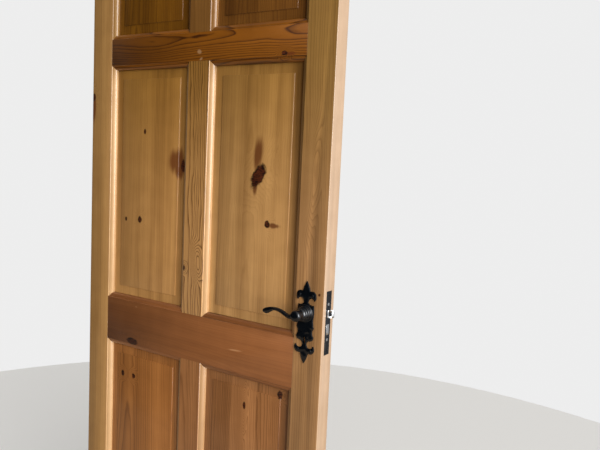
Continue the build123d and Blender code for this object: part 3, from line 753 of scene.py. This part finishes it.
def raise_relief(plate):
    """Cuts the front of the plate into a fine grid and swells it away from its rim, with the
    shallow dimples that a hammer leaves."""
    level = SPINDLE.y - PLATE_RIM * MM
    outline = [(x * MM, z * MM) for x, z in plate_outline()]
    edges = list(zip(outline, outline[1:] + outline[:1]))
    select_only(plate)
    bpy.ops.object.mode_set(mode="EDIT")
    bpy.ops.mesh.select_mode(type="FACE")
    for normal, low, high in RELIEF_CUTS:
        for step in range(int((high - low) / RELIEF_GRID)):
            for face in bmesh.from_edit_mesh(plate.data).faces:
                face.select = all(abs(vertex.co.y - level) < 1e-6 for vertex in face.verts)
            bmesh.update_edit_mesh(plate.data)
            place = SPINDLE + Vector(normal) * ((low + step * RELIEF_GRID + RELIEF_SHIFT) * MM)
            bpy.ops.mesh.bisect(plane_co=place, plane_no=normal)
    for vertex in bmesh.from_edit_mesh(plate.data).verts:
        if abs(vertex.co.y - level) < 1e-6:
            x, z = SPINDLE.x - vertex.co.x, vertex.co.z - SPINDLE.z
            from_rim = min(distance_to_edge(x, z, edge) for edge in edges) / MM
            swell = 1 - exp(-from_rim / RIM_ROUNDING)
            dimple = noise.noise(vertex.co / DIMPLE_SIZE) * DIMPLE_DEPTH * swell
            vertex.co.y = level - ((PLATE_THICKNESS - PLATE_RIM) * swell + dimple) * MM
    bmesh.update_edit_mesh(plate.data)
    bpy.ops.mesh.select_mode(type="VERT")
    bpy.ops.object.mode_set(mode="OBJECT")
    edit_all(plate, face_outwards)


def distance_to_edge(x, z, edge):
    """Distance from a point to a short straight piece of outline."""
    (ax, az), (bx, bz) = edge
    dx, dz = bx - ax, bz - az
    share = min(max(((x - ax) * dx + (z - az) * dz) / (dx * dx + dz * dz), 0.0), 1.0)
    return sqrt((x - ax - share * dx) ** 2 + (z - az - share * dz) ** 2)


def backplate():
    """Cast backplate: holes cut first, then the relief, and a stepped boss on top."""
    plate = prism("front_plate", plate_outline(), 0.0, PLATE_RIM)
    slot_half = KEYHOLE_SLOT[0] / 2
    slot_foot = -KEYHOLE_DROP - KEYHOLE_SLOT[1]
    angle = asin(slot_half / KEYHOLE_RADIUS)
    keyhole = [
        (KEYHOLE_RADIUS * sin(turn), -KEYHOLE_DROP + KEYHOLE_RADIUS * -cos(turn))
        for turn in (angle + (2 * pi - 2 * angle) * i / 24 for i in range(25))
    ]
    keyhole += [(-slot_half, slot_foot), (slot_half, slot_foot)]
    turns = [2 * pi * i / 48 for i in range(48)]
    recess = [(RECESS_RADIUS * cos(turn), RECESS_RADIUS * sin(turn)) for turn in turns]
    cut_away(plate, [prism("recess", recess, -1.0, 5.0), prism("keyhole", keyhole, -1.0, 5.0)])
    raise_relief(plate)
    boss = turned_about_spindle("boss", BOSS_PROFILE, closed=False)
    edit_all(boss, merged(0.001 * MM), face_outwards)
    piece = joined("front_plate", [plate, boss])
    smooth(piece, 38)
    return piece


def domed_screw(place, slot_turn):
    """Head of a slotted screw on the front plate, with a slot that stands at its own angle."""
    outward = Vector((0, -1, 0))
    across = outward.orthogonal().normalized()
    upward = outward.cross(across)
    radius, rise = PLATE_SCREW_RADIUS * MM, PLATE_SCREW_RISE * MM
    rings = []
    for share in (-0.3, 0.0, 0.35, 0.62, 0.82, 0.95, 1.0):
        reach = max(radius * sqrt(max(0.0, 1 - max(0.0, share) ** 2.2)), radius * 0.12)
        rings.append(disc(place + outward * (rise * share), across, upward, reach, 24))
    head = ringed("screw", rings)
    along = across * cos(slot_turn) + upward * sin(slot_turn)
    slot_half = bpy.context.scene.door_metal.screw_slot / 2
    near, far = (
        place + outward * (rise + depth * MM) for depth in (-PLATE_SLOT_DEPTH, PLATE_SLOT_DEPTH)
    )
    slot = bar(near, far, along * (radius * 1.4), outward.cross(along) * slot_half)
    cut_away(head, [slot])
    smooth(head, 38)
    return head


def parts_of(node):
    """Corners of each loose form of a CAD node, from the lowest up."""
    mesh = bmesh.new()
    mesh.from_mesh(frame["nodes"][node].data)
    bmesh.ops.remove_doubles(mesh, verts=mesh.verts, dist=0.001 * MM)
    left = set(mesh.verts)
    corners = []
    while left:
        found = []
        open_ends = [left.pop()]
        while open_ends:
            vertex = open_ends.pop()
            found.append(vertex.co.copy())
            linked = {edge.other_vert(vertex) for edge in vertex.link_edges} & left
            left -= linked
            open_ends += linked
        corners.append([[pick(p[i] for p in found) for i in range(3)] for pick in (min, max)])
    mesh.free()
    return sorted(corners, key=lambda pair: (pair[0][2], pair[0][1]))


def flush_screws(node, name, outward, shank_share):
    """Round countersunk screws with a crossed recess, each in the place of one form of a CAD node.
    They lie along x, and their heads look towards +x (outward 1) or -x (outward -1)."""
    upright, level = Vector((0, 0, 1)), Vector((0, 1, 0))
    screws = []
    for count, (low, high) in enumerate(parts_of(node)):
        y, z = (low[1] + high[1]) / 2, (low[2] + high[2]) / 2
        radius = (high[1] - low[1]) / 2
        face = high[0] if outward > 0 else low[0]
        length = high[0] - low[0]
        shank = radius * shank_share
        rim = SCREW_RIM * MM
        profile = (
            (shank * 0.2, length),
            (shank, length - shank),
            (shank, radius - shank + rim),
            (radius, rim),
            (radius, rim * 0.3),
            (radius * 0.97, 0.0),
        )
        rings = [
            disc(Vector((face - outward * depth, y, z)), level, upright, reach, 32)
            for reach, depth in profile
        ]
        screw = ringed(name, rings)
        near, far = (
            Vector((face - outward * depth * MM, y, z)) for depth in (RECESS_DEPTH, -RECESS_DEPTH)
        )
        recess = []
        for arm in (0, 1):
            turn = 0.4 + count * 1.3 + arm * pi / 2
            along = level * cos(turn) + upright * sin(turn)
            aside = upright * cos(turn) - level * sin(turn)
            recess.append(bar(near, far, along * (radius * 0.55), aside * (radius * 0.12)))
        cut_away(screw, recess)
        screws.append(screw)
    piece = joined(name, screws)
    smooth(piece, 38)
    return piece


def eased(stations, at):
    """Smooth value through stations, each a place and a value."""
    last = len(stations) - 1
    i = next((i for i in range(last) if at <= stations[i + 1][0]), last - 1)
    (x0, v0), (x1, v1) = stations[i], stations[i + 1]
    before, after = stations[max(i - 1, 0)], stations[min(i + 2, last)]
    slope0, slope1 = (v1 - before[1]) / (x1 - before[0]), (after[1] - v0) / (after[0] - x0)
    width = x1 - x0
    share = min(max((at - x0) / width, 0.0), 1.0)
    return (
        v0 * (2 * share**3 - 3 * share**2 + 1)
        + slope0 * width * (share**3 - 2 * share**2 + share)
        + v1 * (-2 * share**3 + 3 * share**2)
        + slope1 * width * (share**3 - share**2)
    )


# Lever arm: reach from the spindle, middle line above the spindle, half height, in millimetres
ARM_STATIONS = (
    (4.0, -1.5, 6.2), (16.0, -3.4, 5.0), (25.0, -1.4, 4.8), (36.0, 3.0, 4.6), (48.0, 5.8, 4.2),
    (60.0, 6.2, 3.9), (69.0, 3.4, 5.6), (78.0, -0.4, 7.0), (87.0, -2.4, 5.8), (93.0, -3.0, 2.6),
)
ARM_STAND_OFF = 43.8
ARM_LEAN = radians(5.0)
ARM_HALF_DEPTH = 5.2
ARM_THINNING = radians(2.2)
LEAF_START = 58.0
ARM_START = 4
ARM_STEP = 1.5
ARM_TIP = 91
SOCKET_HALF = 4.05
SOCKET_DEPTH = 36.0
# Neck and domed hub of the lever: radius, depth off the face
HUB_PROFILE = (
    (9.5, 1.0), (9.5, 14.3), (12.6, 14.3), (14.4, 14.9), (15.2, 16.4), (15.2, 18.2), (14.5, 19.6),
    (13.2, 20.2), (12.9, 21.0), (13.9, 22.0), (14.1, 23.8), (13.5, 25.4), (12.2, 26.2),
    (11.5, 27.4), (11.3, 31.0), (11.3, 34.0), (11.8, 36.2), (12.3, 38.6), (12.5, 41.0),
    (12.5, 44.2), (12.0, 45.9), (10.8, 47.4), (8.8, 48.7), (6.2, 49.3), (3.0, 49.5), (0.4, 49.5),
)


def arm_ring(reach, fullness, sides=48):
    """One section of the arm: an oval with flutes on both broad sides, or a leaf's midrib."""
    rise = eased([(r, m) for r, m, h in ARM_STATIONS], reach)
    half_height = eased([(r, h) for r, m, h in ARM_STATIONS], reach) * fullness
    half_depth = (ARM_HALF_DEPTH - reach * sin(ARM_THINNING)) * (0.4 + 0.6 * fullness)
    leaf = min(max((reach - LEAF_START) / 12, 0.0), 1.0)
    points = []
    for i in range(sides):
        turn = 2 * pi * i / sides
        power = 0.78 + 0.22 * leaf
        u = abs(cos(turn)) ** power * (1 if cos(turn) >= 0 else -1)
        v = abs(sin(turn)) ** power * (1 if sin(turn) >= 0 else -1)
        # three flutes along the stem; the leaf has a raised midrib and a dished rim
        flute = 0.11 * (1 - leaf) * cos(u * pi * 3.0) * min(1.0, max(0.0, (reach - 10) / 8))
        dish = leaf * (0.14 - 0.42 * abs(u) + 0.34 * u * u)
        depth = half_depth * v * (1 + flute + dish * 0.6)
        along = reach * cos(ARM_LEAN) + depth * sin(ARM_LEAN)
        out = ARM_STAND_OFF - reach * sin(ARM_LEAN) + depth * cos(ARM_LEAN)
        points.append(from_spindle(along, out, rise + u * half_height))
    return points


def lever():
    """Forged-looking lever: domed hub on its neck, fluted wavy arm, leaf-shaped end."""
    rings = [arm_ring(ARM_START + i * ARM_STEP, 1.0) for i in range(59)]
    for step in (0.3, 0.55, 0.75, 0.9, 0.98):
        rings.append(arm_ring(ARM_TIP + 2.0 * step, sqrt(1 - step * step) * 0.98 + 0.02))
    arm = ringed("arm", rings)
    hub = turned_about_spindle("hub", HUB_PROFILE, closed=True)
    half = SOCKET_HALF
    corners = [(-half, -half), (half, -half), (half, half), (-half, half)]
    cut_away(hub, [prism("socket", corners, 0.0, SOCKET_DEPTH)])
    piece = joined("front_lever_iron", [hub, arm])
    smooth(piece, 42)
    return piece


# Looks of each piece of wood, in metres. Every board has its own heart of the log (pith sideways,
# heart behind the face), slow and quick bends of the rings, taper along the grain and seed.
# Knots, swirls, resin and patches are ovals: x, z, half width, half height, turn in degrees.
# Strips are where each glued strip starts, the first at the board's edge, and its tone.
PLAIN_LOOK = dict(
    across="x", figure=0.6, pith=0.05, heart=0.05, slow=0.012, quick=0.003, taper=0.02, ring=1.0,
    streaks=0.16, broad=0.2, strips=[(None, 0.5)], strip_spread=0.0, head=(1.0, 1.0, 1.0),
    moulding=0.0, moulding_on="both", bare_edge=False, knots=[], swirls=[], resin=[], patches=[],
    patch_colour="#6b3f2a",
)
MEMBERS = {
    "hinge_stile": dict(
        pale="#8f6a3c", dark="#6a4722", figure=0.45, pith=0.09, slow=0.014, taper=0.012, seed=1.3,
        # Only the moulding on the right, which faces the light, gets the pale colour with its
        # painted sheen
        streaks=0.12, broad=0.1, moulding=0.78, moulding_on="right", head=(0.98, 0.98, 0.95),
        knots=[(-0.3795, 1.479, 0.007, 0.010, 0)],
        resin=[(-0.378, 1.45, 0.010, 0.05, 0)],
    ),
    "lock_stile": dict(
        pale="#ab7e50", dark="#6b4826", figure=0.42, pith=0.055, heart=0.01, slow=0.02,
        quick=0.004, seed=4.1, streaks=0.12, broad=0.12, ring=1.2, head=(0.70, 0.71, 0.46),
        bare_edge=True,
        knots=[(0.3665, 1.0447, 0.0025, 0.0035, 25)],
        swirls=[(0.334, 1.29, 0.012, 0.075, 3)],
    ),
    "top_rail": dict(
        across="z", pale="#74481c", dark="#4c270a", slow=0.016, seed=2.2, broad=0.15,
    ),
    "frieze_rail": dict(
        across="z", pale="#7c480e", dark="#3a1a04", figure=0.95, pith=-0.022, heart=0.004,
        slow=0.036, quick=0.004, taper=0.004, seed=5.9, streaks=0.04, broad=0.05,
        knots=[(0.2465, 1.568, 0.007, 0.005, 0)],
        patch_colour="#a5805a",
        patches=[(-0.002, 1.583, 0.009, 0.007, 20), (0.004, 1.566, 0.007, 0.004, -30)],
        resin=[(0.262, 1.566, 0.022, 0.006, 0)],
    ),
    "lock_rail": dict(
        across="z", pale="#85522c", dark="#5a3018", figure=0.2, pith=0.07, heart=0.06, slow=0.02,
        taper=0.012, seed=3.6, streaks=0.12, broad=0.14,
        knots=[(-0.2113, 0.829, 0.020, 0.009, 4)],
        patch_colour="#b08158",
        patches=[(0.138, 0.875, 0.028, 0.003, -4), (-0.199, 0.9258, 0.006, 0.003, 0)],
    ),
    "bottom_rail": dict(
        across="z", pale="#82502c", dark="#5f3318", figure=0.4, pith=0.01, slow=0.02, seed=5.5,
        broad=0.15,
    ),
    "top_mullion": dict(pale="#7c5426", dark="#573413", figure=0.5, seed=6.6),
    "middle_mullion": dict(
        pale="#c08f57", dark="#5d3814", figure=0.95, heart=0.012, slow=0.026, quick=0.013,
        seed=8.3, streaks=0.08, broad=0.08, ring=1.4, moulding=0.78, head=(0.52, 0.47, 0.25),
        knots=[(-0.0324, 1.0536, 0.004, 0.006, 0)],
        swirls=[(0.008, 1.075, 0.011, 0.030, -8)],
    ),
    "bottom_mullion": dict(
        pale="#94633a", dark="#683f20", pith=0.03, quick=0.004, seed=9.1, moulding=0.65,
    ),
    "top_left_panel": dict(
        pale="#6e450c", dark="#412303", pith=0.06, heart=0.06, taper=0.015, seed=10.2,
    ),
    "top_right_panel": dict(
        pale="#74491a", dark="#47280a", heart=0.06, taper=0.015, seed=11.7, broad=0.25,
        strips=[(None, 0.4), (0.12, 0.6), (0.2, 0.35)], strip_spread=0.12,
    ),
    "middle_left_panel": dict(
        pale="#b0814a", dark="#7a4f20", figure=0.2, pith=0.03, slow=0.016, seed=12.9,
        streaks=0.22, broad=0.22, head=(0.63, 0.58, 0.33),
        strips=[(None, 0.42), (-0.2168, 0.6), (-0.1557, 0.4), (-0.1168, 0.66)],
        strip_spread=0.13,
        knots=[(-0.0560, 1.3060, 0.007, 0.016, 0), (-0.2035, 1.1591, 0.007, 0.009, 0),
               (-0.1913, 1.3902, 0.004, 0.007, 0), (-0.2557, 1.1569, 0.004, 0.006, 0)],
        resin=[(-0.0790, 1.318, 0.030, 0.040, 0), (-0.0700, 1.300, 0.022, 0.030, 0)],
    ),
    "middle_right_panel": dict(
        pale="#b88a54", dark="#7c5022", figure=0.22, pith=0.04, slow=0.014, taper=0.018,
        seed=14.4, streaks=0.24, broad=0.26, head=(0.60, 0.55, 0.34),
        # The last, darkest strip at the panel's right edge is partly painted shade: it deepens the
        # shadow that the lock stile casts there
        strips=[(None, 0.5), (0.1054, 0.66), (0.1387, 0.42), (0.2221, 0.62), (0.2609, 0.45),
                (0.2754, 0.08)],
        strip_spread=0.14,
        knots=[(0.1809, 1.2947, 0.016, 0.031, 34), (0.2109, 1.1847, 0.007, 0.009, 0)],
        resin=[(0.178, 1.345, 0.018, 0.058, 6), (0.172, 1.268, 0.010, 0.028, 0),
               (0.232, 1.183, 0.022, 0.008, 0)],
    ),
    "bottom_left_panel": dict(
        pale="#9a6331", dark="#5f3312", figure=0.65, heart=0.06, taper=0.015, seed=16.1,
        strips=[(None, 0.55), (-0.0835, 0.3)], strip_spread=0.1,
        knots=[(-0.2568, 0.7291, 0.006, 0.007, 0), (-0.2146, 0.7291, 0.006, 0.007, 0)],
    ),
    "bottom_right_panel": dict(
        pale="#9a673c", dark="#5f3718", figure=0.65, pith=0.03, heart=0.04, quick=0.006,
        seed=17.8, streaks=0.14, broad=0.18,
        strips=[(None, 0.38), (0.1243, 0.9), (0.1998, 0.34)], strip_spread=0.2,
        knots=[(0.2665, 0.7924, 0.007, 0.009, 0), (0.1654, 0.7424, 0.004, 0.009, 0)],
        swirls=[(0.163, 0.735, 0.007, 0.040, 0)],
    ),
}


def dress_wood(panels, slot_name):
    """Dresses the panels, or all that holds them, each piece with its own board of pine."""
    for node in MEMBERS:
        if node.endswith("_panel") == panels:
            # Waxed pine: warm, half glossy, with growth rings and knots
            look = {**PLAIN_LOOK, **MEMBERS[node]}
            material = pine("waxed_pine_" + node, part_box(node), look)
            arris = bpy.context.scene.door_pine.arris
            dress(node, "pine", arris, "door_leaf", slot_name, material)


class DOOR_OT_joinery(bpy.types.Operator):
    """Dresses stiles, rails and mullions as boards of waxed pine"""

    bl_idname = "door.joinery"
    bl_label = "Stiles, rails and mullions"

    def execute(self, context):
        dress_wood(False, "wood")
        return {"FINISHED"}


class DOOR_OT_panels(bpy.types.Operator):
    """Dresses the six fielded panels as glued boards of waxed pine"""

    bl_idname = "door.panels"
    bl_label = "Panels"

    def execute(self, context):
        dress_wood(True, "panel_wood")
        return {"FINISHED"}


class DOOR_OT_backplates(bpy.types.Operator):
    """Models the two cast backplates and their screws"""

    bl_idname = "door.backplates"
    bl_label = "Backplates"

    def execute(self, context):
        front = backplate()
        rear = mirrored_to_back(front, "rear_plate")
        heads = [
            domed_screw(
                from_spindle(side * across, PLATE_THICKNESS - 0.1, rise),
                0.5 + row * 1.1 + side * 0.35,
            )
            for row, (across, rise) in enumerate(PLATE_SCREWS)
            for side in (-1, 1)
        ]
        front_screws = joined("front_plate_screws", heads)
        rear_screws = mirrored_to_back(front_screws, "rear_plate_screws")
        finish_piece(front, "door_leaf", "black_iron", ["front_backplate"])
        finish_piece(rear, "door_leaf", "black_iron", ["rear_backplate"])
        for screws in (front_screws, rear_screws):
            finish_piece(screws, "door_leaf", "black_steel")
        return {"FINISHED"}


class DOOR_OT_levers(bpy.types.Operator):
    """Models the two lever handles with their rings and spindle"""

    bl_idname = "door.levers"
    bl_label = "Lever handles"

    def execute(self, context):
        front = lever()
        rear = mirrored_to_back(front, "rear_lever_iron")
        finish_piece(front, "handle", "black_iron", ["front_lever"])
        finish_piece(rear, "handle", "black_iron", ["rear_lever"])
        for node in ("front_lever_ring", "rear_lever_ring"):
            dress(node, "iron", 0.2 * MM, "handle", "black_iron")
        for node in ("spindle", "follower"):
            dress(node, "steel", 0.3 * MM, "handle", "lock_steel")
        return {"FINISHED"}


# Nose of the latch, in millimetres: where its bevel starts beyond the door's edge, how long and
# tall it is, the bevel's depth at both ends and its bow, then the pocket and the painted dark shoe
# in it
NOSE_START = 1.0
NOSE_LENGTH = 11.0
NOSE_HEIGHT = 17.5
NOSE_NEAR = -5.7
NOSE_FAR = 3.7
NOSE_BOW = 0.5
POCKET_START = 2.6
POCKET_END = 9.4
POCKET_WALL = 4.4
POCKET_FLOOR = 3.4
POCKET_CUT = -8.0
SHOE_START = 2.9
SHOE_DROP = 0.7


def nose_bevel(x):
    """Depth in millimetres of the curved bevel of the nose, that far out of the faceplate."""
    share = (x - NOSE_START) / NOSE_LENGTH
    return NOSE_NEAR + (NOSE_FAR - NOSE_NEAR) * (share + NOSE_BOW * share * (share - 1))


def latch():
    """Latch bolt with a pocket in its bevelled nose, and a dark shoe in the pocket that paints in
    the dark reflection of the bevel's middle.
    """
    bolt = dressed_copy("latch_bolt", "latch_bolt_metal", 0.2 * MM)
    nose_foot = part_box("latch_bolt")[0].z
    foot, head = nose_foot + POCKET_WALL * MM, nose_foot + (NOSE_HEIGHT - POCKET_WALL) * MM
    forms = []
    # The pocket, and the shoe in it: a dark piece that paints the reflection in the bevel's middle
    for name, start, drop in (("pocket", POCKET_START, 0.0), ("latch_shoe", SHOE_START, SHOE_DROP)):
        end = POCKET_END - drop
        front = [(x, nose_bevel(x) + drop if drop else POCKET_CUT) for x in (start, end)]
        outline = [(start, POCKET_FLOOR), *front, (end, POCKET_FLOOR)]
        rings = [
            [(LEAF_RIGHT + x * MM, y * MM, z) for x, y in outline]
            for z in (foot + drop * MM, head - drop * MM)
        ]
        forms.append(ringed(name, rings))
    pocket, painted_dark_shoe = forms
    cut_away(bolt, [pocket])
    smooth(bolt, 34)
    rounded(painted_dark_shoe, 0.5 * MM, 3, 30)
    smooth(painted_dark_shoe, 34)
    return bolt, painted_dark_shoe


class DOOR_OT_lock(bpy.types.Operator):
    """Dresses the mortise lock, its bolts, faceplate and screws"""

    bl_idname = "door.lock"
    bl_label = "Mortise lock"

    def execute(self, context):
        for node, body, slot_name in (
            ("lock_case", "door_leaf", "lock_steel"),
            ("lock_cap", "door_leaf", "lock_steel"),
            ("lock_faceplate", "door_leaf", "black_steel"),
            ("dead_bolt", "dead_bolt", "bolt_steel"),
        ):
            dress(node, "metal", 0.2 * MM, body, slot_name)
        spring = dress("latch_spring", "metal", 0.0, "door_leaf", "lock_steel")
        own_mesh(spring)
        bolt, painted_dark_shoe = latch()
        finish_piece(bolt, "latch", "bolt_steel", ["latch_bolt"])
        # The shoe is painted reflection: black, where the bevel's middle mirrors the dim room
        finish_piece(painted_dark_shoe, "latch", "black_steel")
        for node, slot_name, shank_share in (
            ("faceplate_case_screws", "screw_steel", 0.45),
            ("faceplate_wood_screws", "black_steel", 0.48),
        ):
            piece = flush_screws(node, node + "_round", 1, shank_share)
            finish_piece(piece, "door_leaf", slot_name, [node])
        return {"FINISHED"}


class DOOR_OT_hinges(bpy.types.Operator):
    """Dresses the three butt hinges and their screws"""

    bl_idname = "door.hinges"
    bl_label = "Hinges"

    def execute(self, context):
        for place in ("top", "middle", "bottom"):
            for side, body in (("door", "door_leaf"), ("jamb", "jamb_leaves")):
                node = f"{place}_hinge_{side}_leaf"
                dress(node, "steel", 0.3 * MM, body, "hinge_steel")
        piece = flush_screws("hinge_screws", "hinge_screws_round", -1, 0.48)
        finish_piece(piece, "door_leaf", "black_steel", ["hinge_screws"])
        return {"FINISHED"}


# Camera of the reference view, in the row frame
CAMERA_MATRIX = (
    (0.83851665, -0.09353034, 0.53678851, 1.07142),
    (0.54288538, 0.05927608, -0.83771225, -1.21381),
    (0.04653279, 0.9938503, 0.10048023, 1.33607),
    (0, 0, 0, 1),
)
CAMERA_LENS_MM = 38.70
SENSOR_MM = 36.0
FLOOR_RADIUS = 2.6
# Where the window's light comes from: round from the front to the right, and up
LIGHT_AZIMUTH = radians(66)
LIGHT_ELEVATION = radians(14)
# Lobes of the room's light: where they look, and the cosines between which they rise. The window
# adds its glow, and the side away from it loses this share of the even light.
WINDOW_LOBE = ((0.93, -0.3, 0.2), 0.25, 1.0)
SHADE_LOBE = ((-0.54, -0.84, -0.05), -0.05, 0.78)
SHADE_SHARE = 0.97


class DOOR_OT_stage(bpy.types.Operator):
    """Sets the camera, light, floor and background"""

    bl_idname = "door.stage"
    bl_label = "Stage"

    def execute(self, context):
        settings = context.scene.door_stage
        scene = context.scene
        bpy.ops.object.camera_add()
        camera = context.view_layer.objects.active
        camera.matrix_world = Matrix(CAMERA_MATRIX)
        camera.data.lens = CAMERA_LENS_MM
        camera.data.sensor_width = SENSOR_MM
        scene.camera = camera
        scene.view_settings.view_transform = "Standard"

        bpy.ops.mesh.primitive_circle_add(
            vertices=96, radius=FLOOR_RADIUS, fill_type="NGON", location=(0, 0, CAD_BOX[0].z)
        )
        floor = context.view_layer.objects.active
        floor.name = "floor"
        material, add = new_surface("pale_matt_floor")
        # Pale to the camera; the door itself is lit and mirrored as by a darker, warmer floor
        seen = add("LightPath", out="Is Camera Ray")
        tones = {0: seen, 6: list(settings.floor_bounce), 7: list(settings.floor)}
        tone = add("Mix", tones, **COLOURS)
        finish_surface(add, {"Base Color": tone, "Roughness": 0.9})
        floor.data.materials.append(material)

        bpy.ops.object.light_add(
            type="SUN", rotation=(pi / 2 - LIGHT_ELEVATION, 0, LIGHT_AZIMUTH)
        )
        sun = context.view_layer.objects.active
        sun.data.energy = settings.window_power
        sun.data.angle = settings.window_size

        # The room is bright towards the window and dim on the side away from it; the camera
        # itself sees a plain pale wall
        world = bpy.data.worlds.new("soft_room")
        world.use_nodes = True
        world.node_tree.nodes.clear()
        add = partial(put, world.node_tree)
        direction = add("TexCoord", out="Generated")
        level = settings.fill
        for (toward, near, far), change in (
            (WINDOW_LOBE, settings.window_glow),
            (SHADE_LOBE, -settings.fill * SHADE_SHARE),
        ):
            facing = [direction, Vector(toward).normalized()]
            facing = add("VectorMath", facing, "Value", operation="DOT_PRODUCT")
            share = add("MapRange", [facing, near, far, 0.0, change], **SMOOTH)
            level = add("Math", [share, level], **PLUS)
        seen = add("LightPath", out="Is Camera Ray")
        strength = add("Mix", {0: seen, 2: level, 3: settings.backdrop})
        colour = add("Background", {"Color": (1, 1, 1, 1), "Strength": strength})
        add("OutputWorld", {"Surface": colour}, None)
        scene.world = world
        return {"FINISHED"}


class DOOR_PT_sidebar(bpy.types.Panel):
    """Settings and steps of the pine door"""

    bl_label = "Pine door"
    bl_idname = "DOOR_PT_sidebar"
    bl_space_type = "VIEW_3D"
    bl_region_type = "UI"
    bl_category = "Pine door"

    def draw(self, context):
        for name, group in GROUPS.items():
            box = self.layout.box()
            for setting in group.__annotations__:
                box.prop(getattr(context.scene, name), setting)
        for operator in OPERATORS:
            self.layout.operator(operator.bl_idname)


OPERATORS = (
    DOOR_OT_joinery,
    DOOR_OT_panels,
    DOOR_OT_backplates,
    DOOR_OT_levers,
    DOOR_OT_lock,
    DOOR_OT_hinges,
    DOOR_OT_stage,
)
CLASSES = (*GROUPS.values(), *OPERATORS, DOOR_PT_sidebar)


def register():
    for cls in CLASSES:
        bpy.utils.register_class(cls)
    for name, group in GROUPS.items():
        setattr(bpy.types.Scene, name, bpy.props.PointerProperty(type=group))


def unregister():
    for name in GROUPS:
        delattr(bpy.types.Scene, name)
    for cls in reversed(CLASSES):
        bpy.utils.unregister_class(cls)


def main():
    register()
    for operator in OPERATORS:
        group, name = operator.bl_idname.split(".")
        getattr(getattr(bpy.ops, group), name)()


if __name__ == "__main__":
    main()
